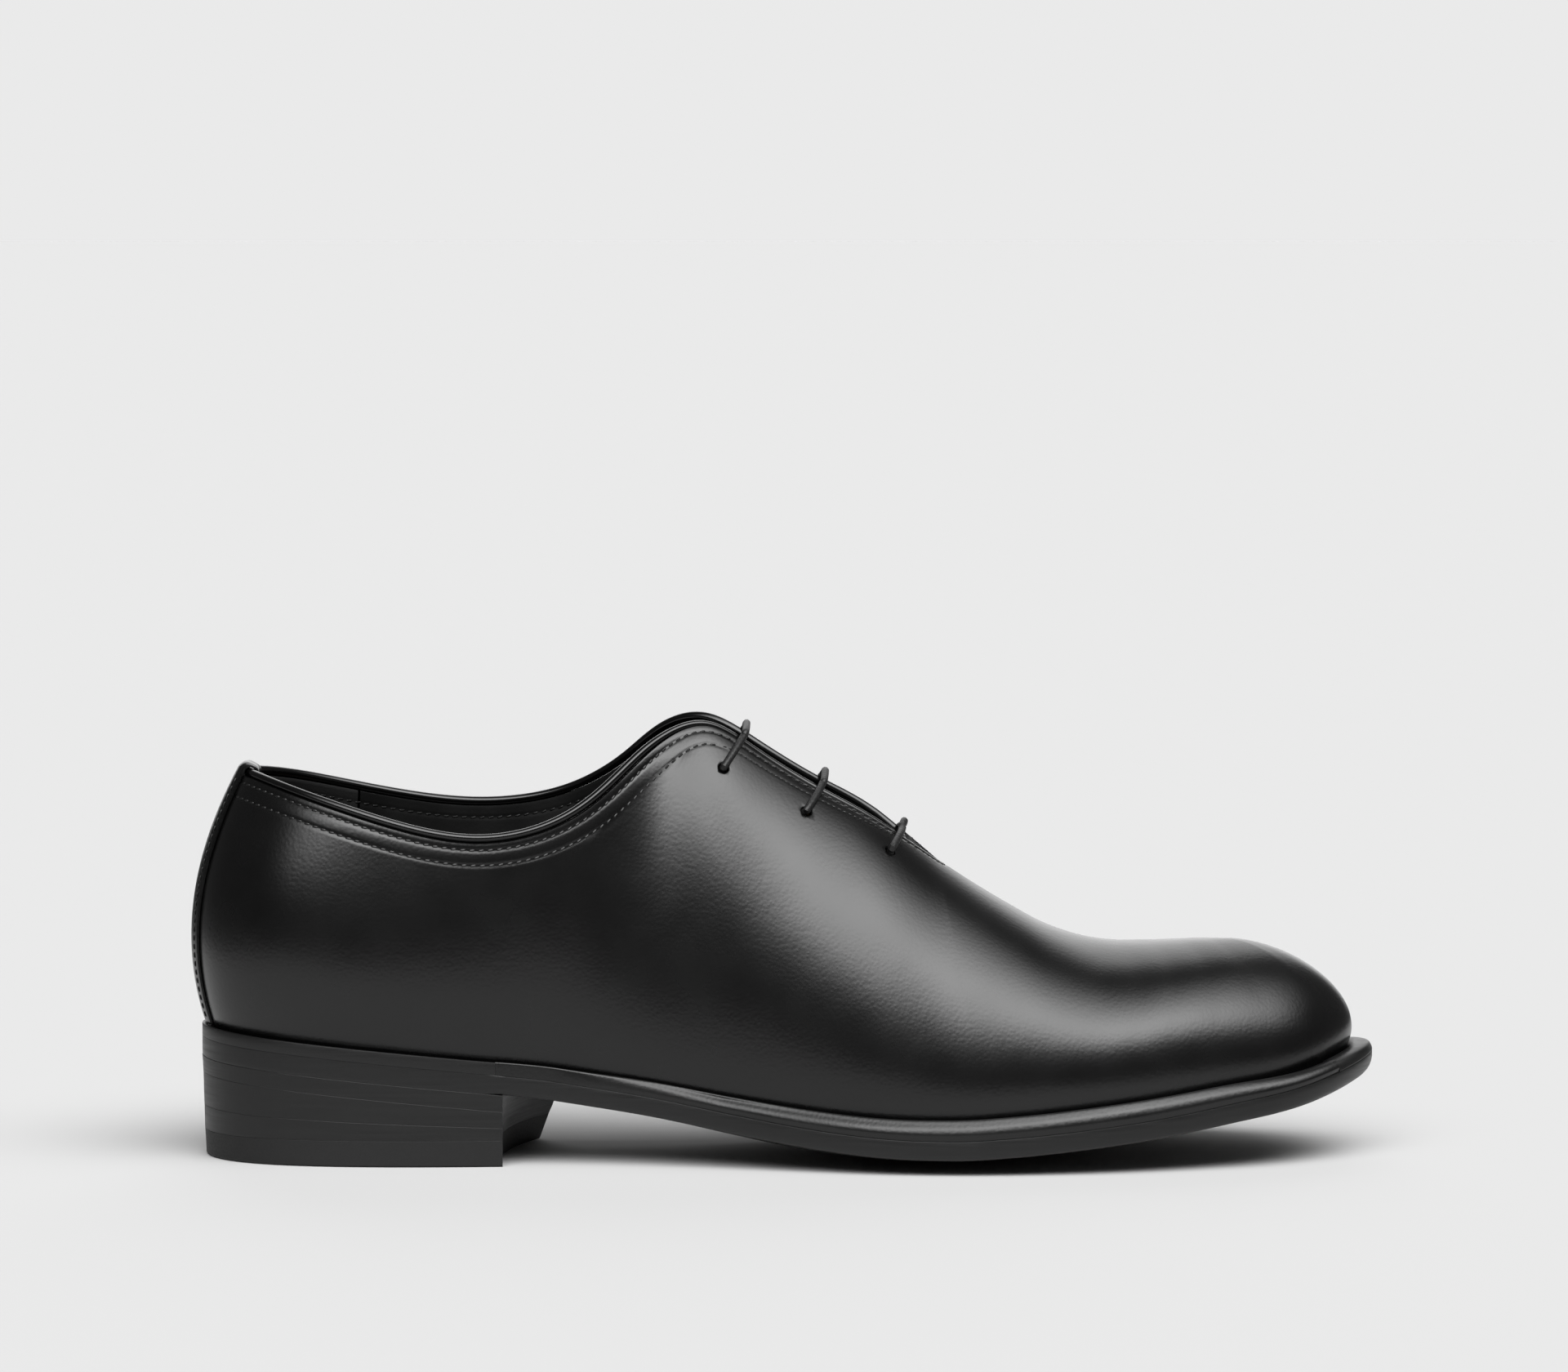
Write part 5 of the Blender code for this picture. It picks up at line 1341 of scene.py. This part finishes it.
plain = add(sky, "ShaderNodeBackground", {"Color": linear(BACKGROUND), "Strength": 1.0})
mixed = add(sky, "ShaderNodeMixShader", {0: seen, 1: glow.outputs[0], 2: plain.outputs[0]})
add(sky, "ShaderNodeOutputWorld", {"Surface": mixed.outputs[0]})

# %% [markdown]
# The floor has to look as bright as the wall behind it. Its brightness is the light that falls on it times
# how much it reflects, so the sky is added up over all directions, and the floor's paint is chosen from
# that. In a real studio the lit table ends within a metre, so in the leather's reflections the floor turns
# dark out there: this is painted shade, black mixed into the floor's paint for glossy rays only.

# %% Paint the floor
FLOOR_LIT = (0.35, 0.9)     # metres from the shoe where the floor's reflection starts and ends to fade
FLOOR_HALF = 60.0           # half the floor's side, in metres


def smoothstep(value, low, high):
    f = np.clip((value - low) / (high - low), 0, 1)
    return f * f * (3 - 2 * f)


def sky_light(d):
    """The sky's brightness in directions d, as the nodes above give it."""
    ceiling = np.maximum(d[:, 2], 0.05)
    u = np.abs(d @ np.array(long_way) / ceiling - long_at)
    v = np.abs(d @ np.array(wide_way) / ceiling - wide_at)
    box = smoothstep(u, *SOFTBOX_LONG) * smoothstep(v, *SOFTBOX_WIDE) * smoothstep(d[:, 2], *SOFTBOX_RISE)
    aside = np.abs(d[:, 0]) / np.maximum(d[:, 1], 0.05)
    back = smoothstep(aside, *WALL_ASIDE) * smoothstep(d[:, 1], *WALL_AHEAD) * smoothstep(d[:, 2], *WALL_HIGH)
    return SOFTBOX * box + WALL * back + ROOM


shares = (np.arange(400) + 0.5) / 400
up, turn = np.meshgrid(shares, shares * 2 * math.pi)
flat_part = np.sqrt(1 - up**2)
d = np.stack([flat_part * np.cos(turn), flat_part * np.sin(turn), up], axis=-1).reshape(-1, 3)
falling = (sky_light(d) * d[:, 2]).mean() * 2 * math.pi
paint = linear(BACKGROUND)[0] * math.pi / falling
print("light on the floor", round(float(falling), 3), "paint", round(float(paint), 3))

floor_mesh = bpy.data.meshes.new("floor")
corner_signs = ((-1, -1), (1, -1), (1, 1), (-1, 1))
floor_mesh.from_pydata([(x * FLOOR_HALF, y * FLOOR_HALF, 0) for x, y in corner_signs], [], [(0, 1, 2, 3)])
floor = bpy.data.objects.new("floor", floor_mesh)
floor.location.z = -0.0001
bpy.context.scene.collection.objects.link(floor)
floor_paint, tree, shader, place = finish("matt_floor_paint", 1.0)
shader.inputs["Base Color"].default_value = (paint, paint, paint, 1.0)
shader.inputs["Specular IOR Level"].default_value = 0.0
# painted shade: past FLOOR_LIT metres from the shoe, glossy rays see the floor's paint mixed towards black
from_shoe = add(tree, "ShaderNodeVectorMath", {0: place}, operation="LENGTH").outputs["Value"]
fading = {"Value": from_shoe, "From Min": FLOOR_LIT[0], "From Max": FLOOR_LIT[1],
          "To Min": 0.0, "To Max": 0.85}
painted_shade_share = add(tree, "ShaderNodeMapRange", fading, interpolation_type="SMOOTHSTEP").outputs[0]
mirrored = add(tree, "ShaderNodeLightPath").outputs["Is Glossy Ray"]
painted_shade_share = add(tree, "ShaderNodeMath", {0: painted_shade_share, 1: mirrored}, operation="MULTIPLY").outputs[0]
black = add(tree, "ShaderNodeBsdfDiffuse", {"Color": (0, 0, 0, 1)})
both = add(tree, "ShaderNodeMixShader", {0: painted_shade_share, 1: shader.outputs[0], 2: black.outputs[0]})
tree.links.new(both.outputs[0], tree.nodes["Material Output"].inputs["Surface"])
floor_mesh.materials.append(floor_paint)

# %% [markdown]
# ## Camera
#
# A long lens from nearly two metres keeps the shoe's proportions true. It stands low, a few degrees above
# the shoe, square to its side.

# %% Place the camera
CAMERA_AT, CAMERA_AIM, FOCAL = (0.0, -1.7901, 0.2382), (0.0001, 0.9978, -0.0666), 162.4
lens = bpy.data.cameras.new("camera")
lens.sensor_width, lens.lens = 36.0, FOCAL
camera = bpy.data.objects.new("camera", lens)
camera.location = CAMERA_AT
camera.rotation_euler = Vector(CAMERA_AIM).to_track_quat("-Z", "Y").to_euler()
bpy.context.scene.collection.objects.link(camera)
bpy.context.scene.camera = camera
bpy.context.scene.view_settings.view_transform = "Standard"
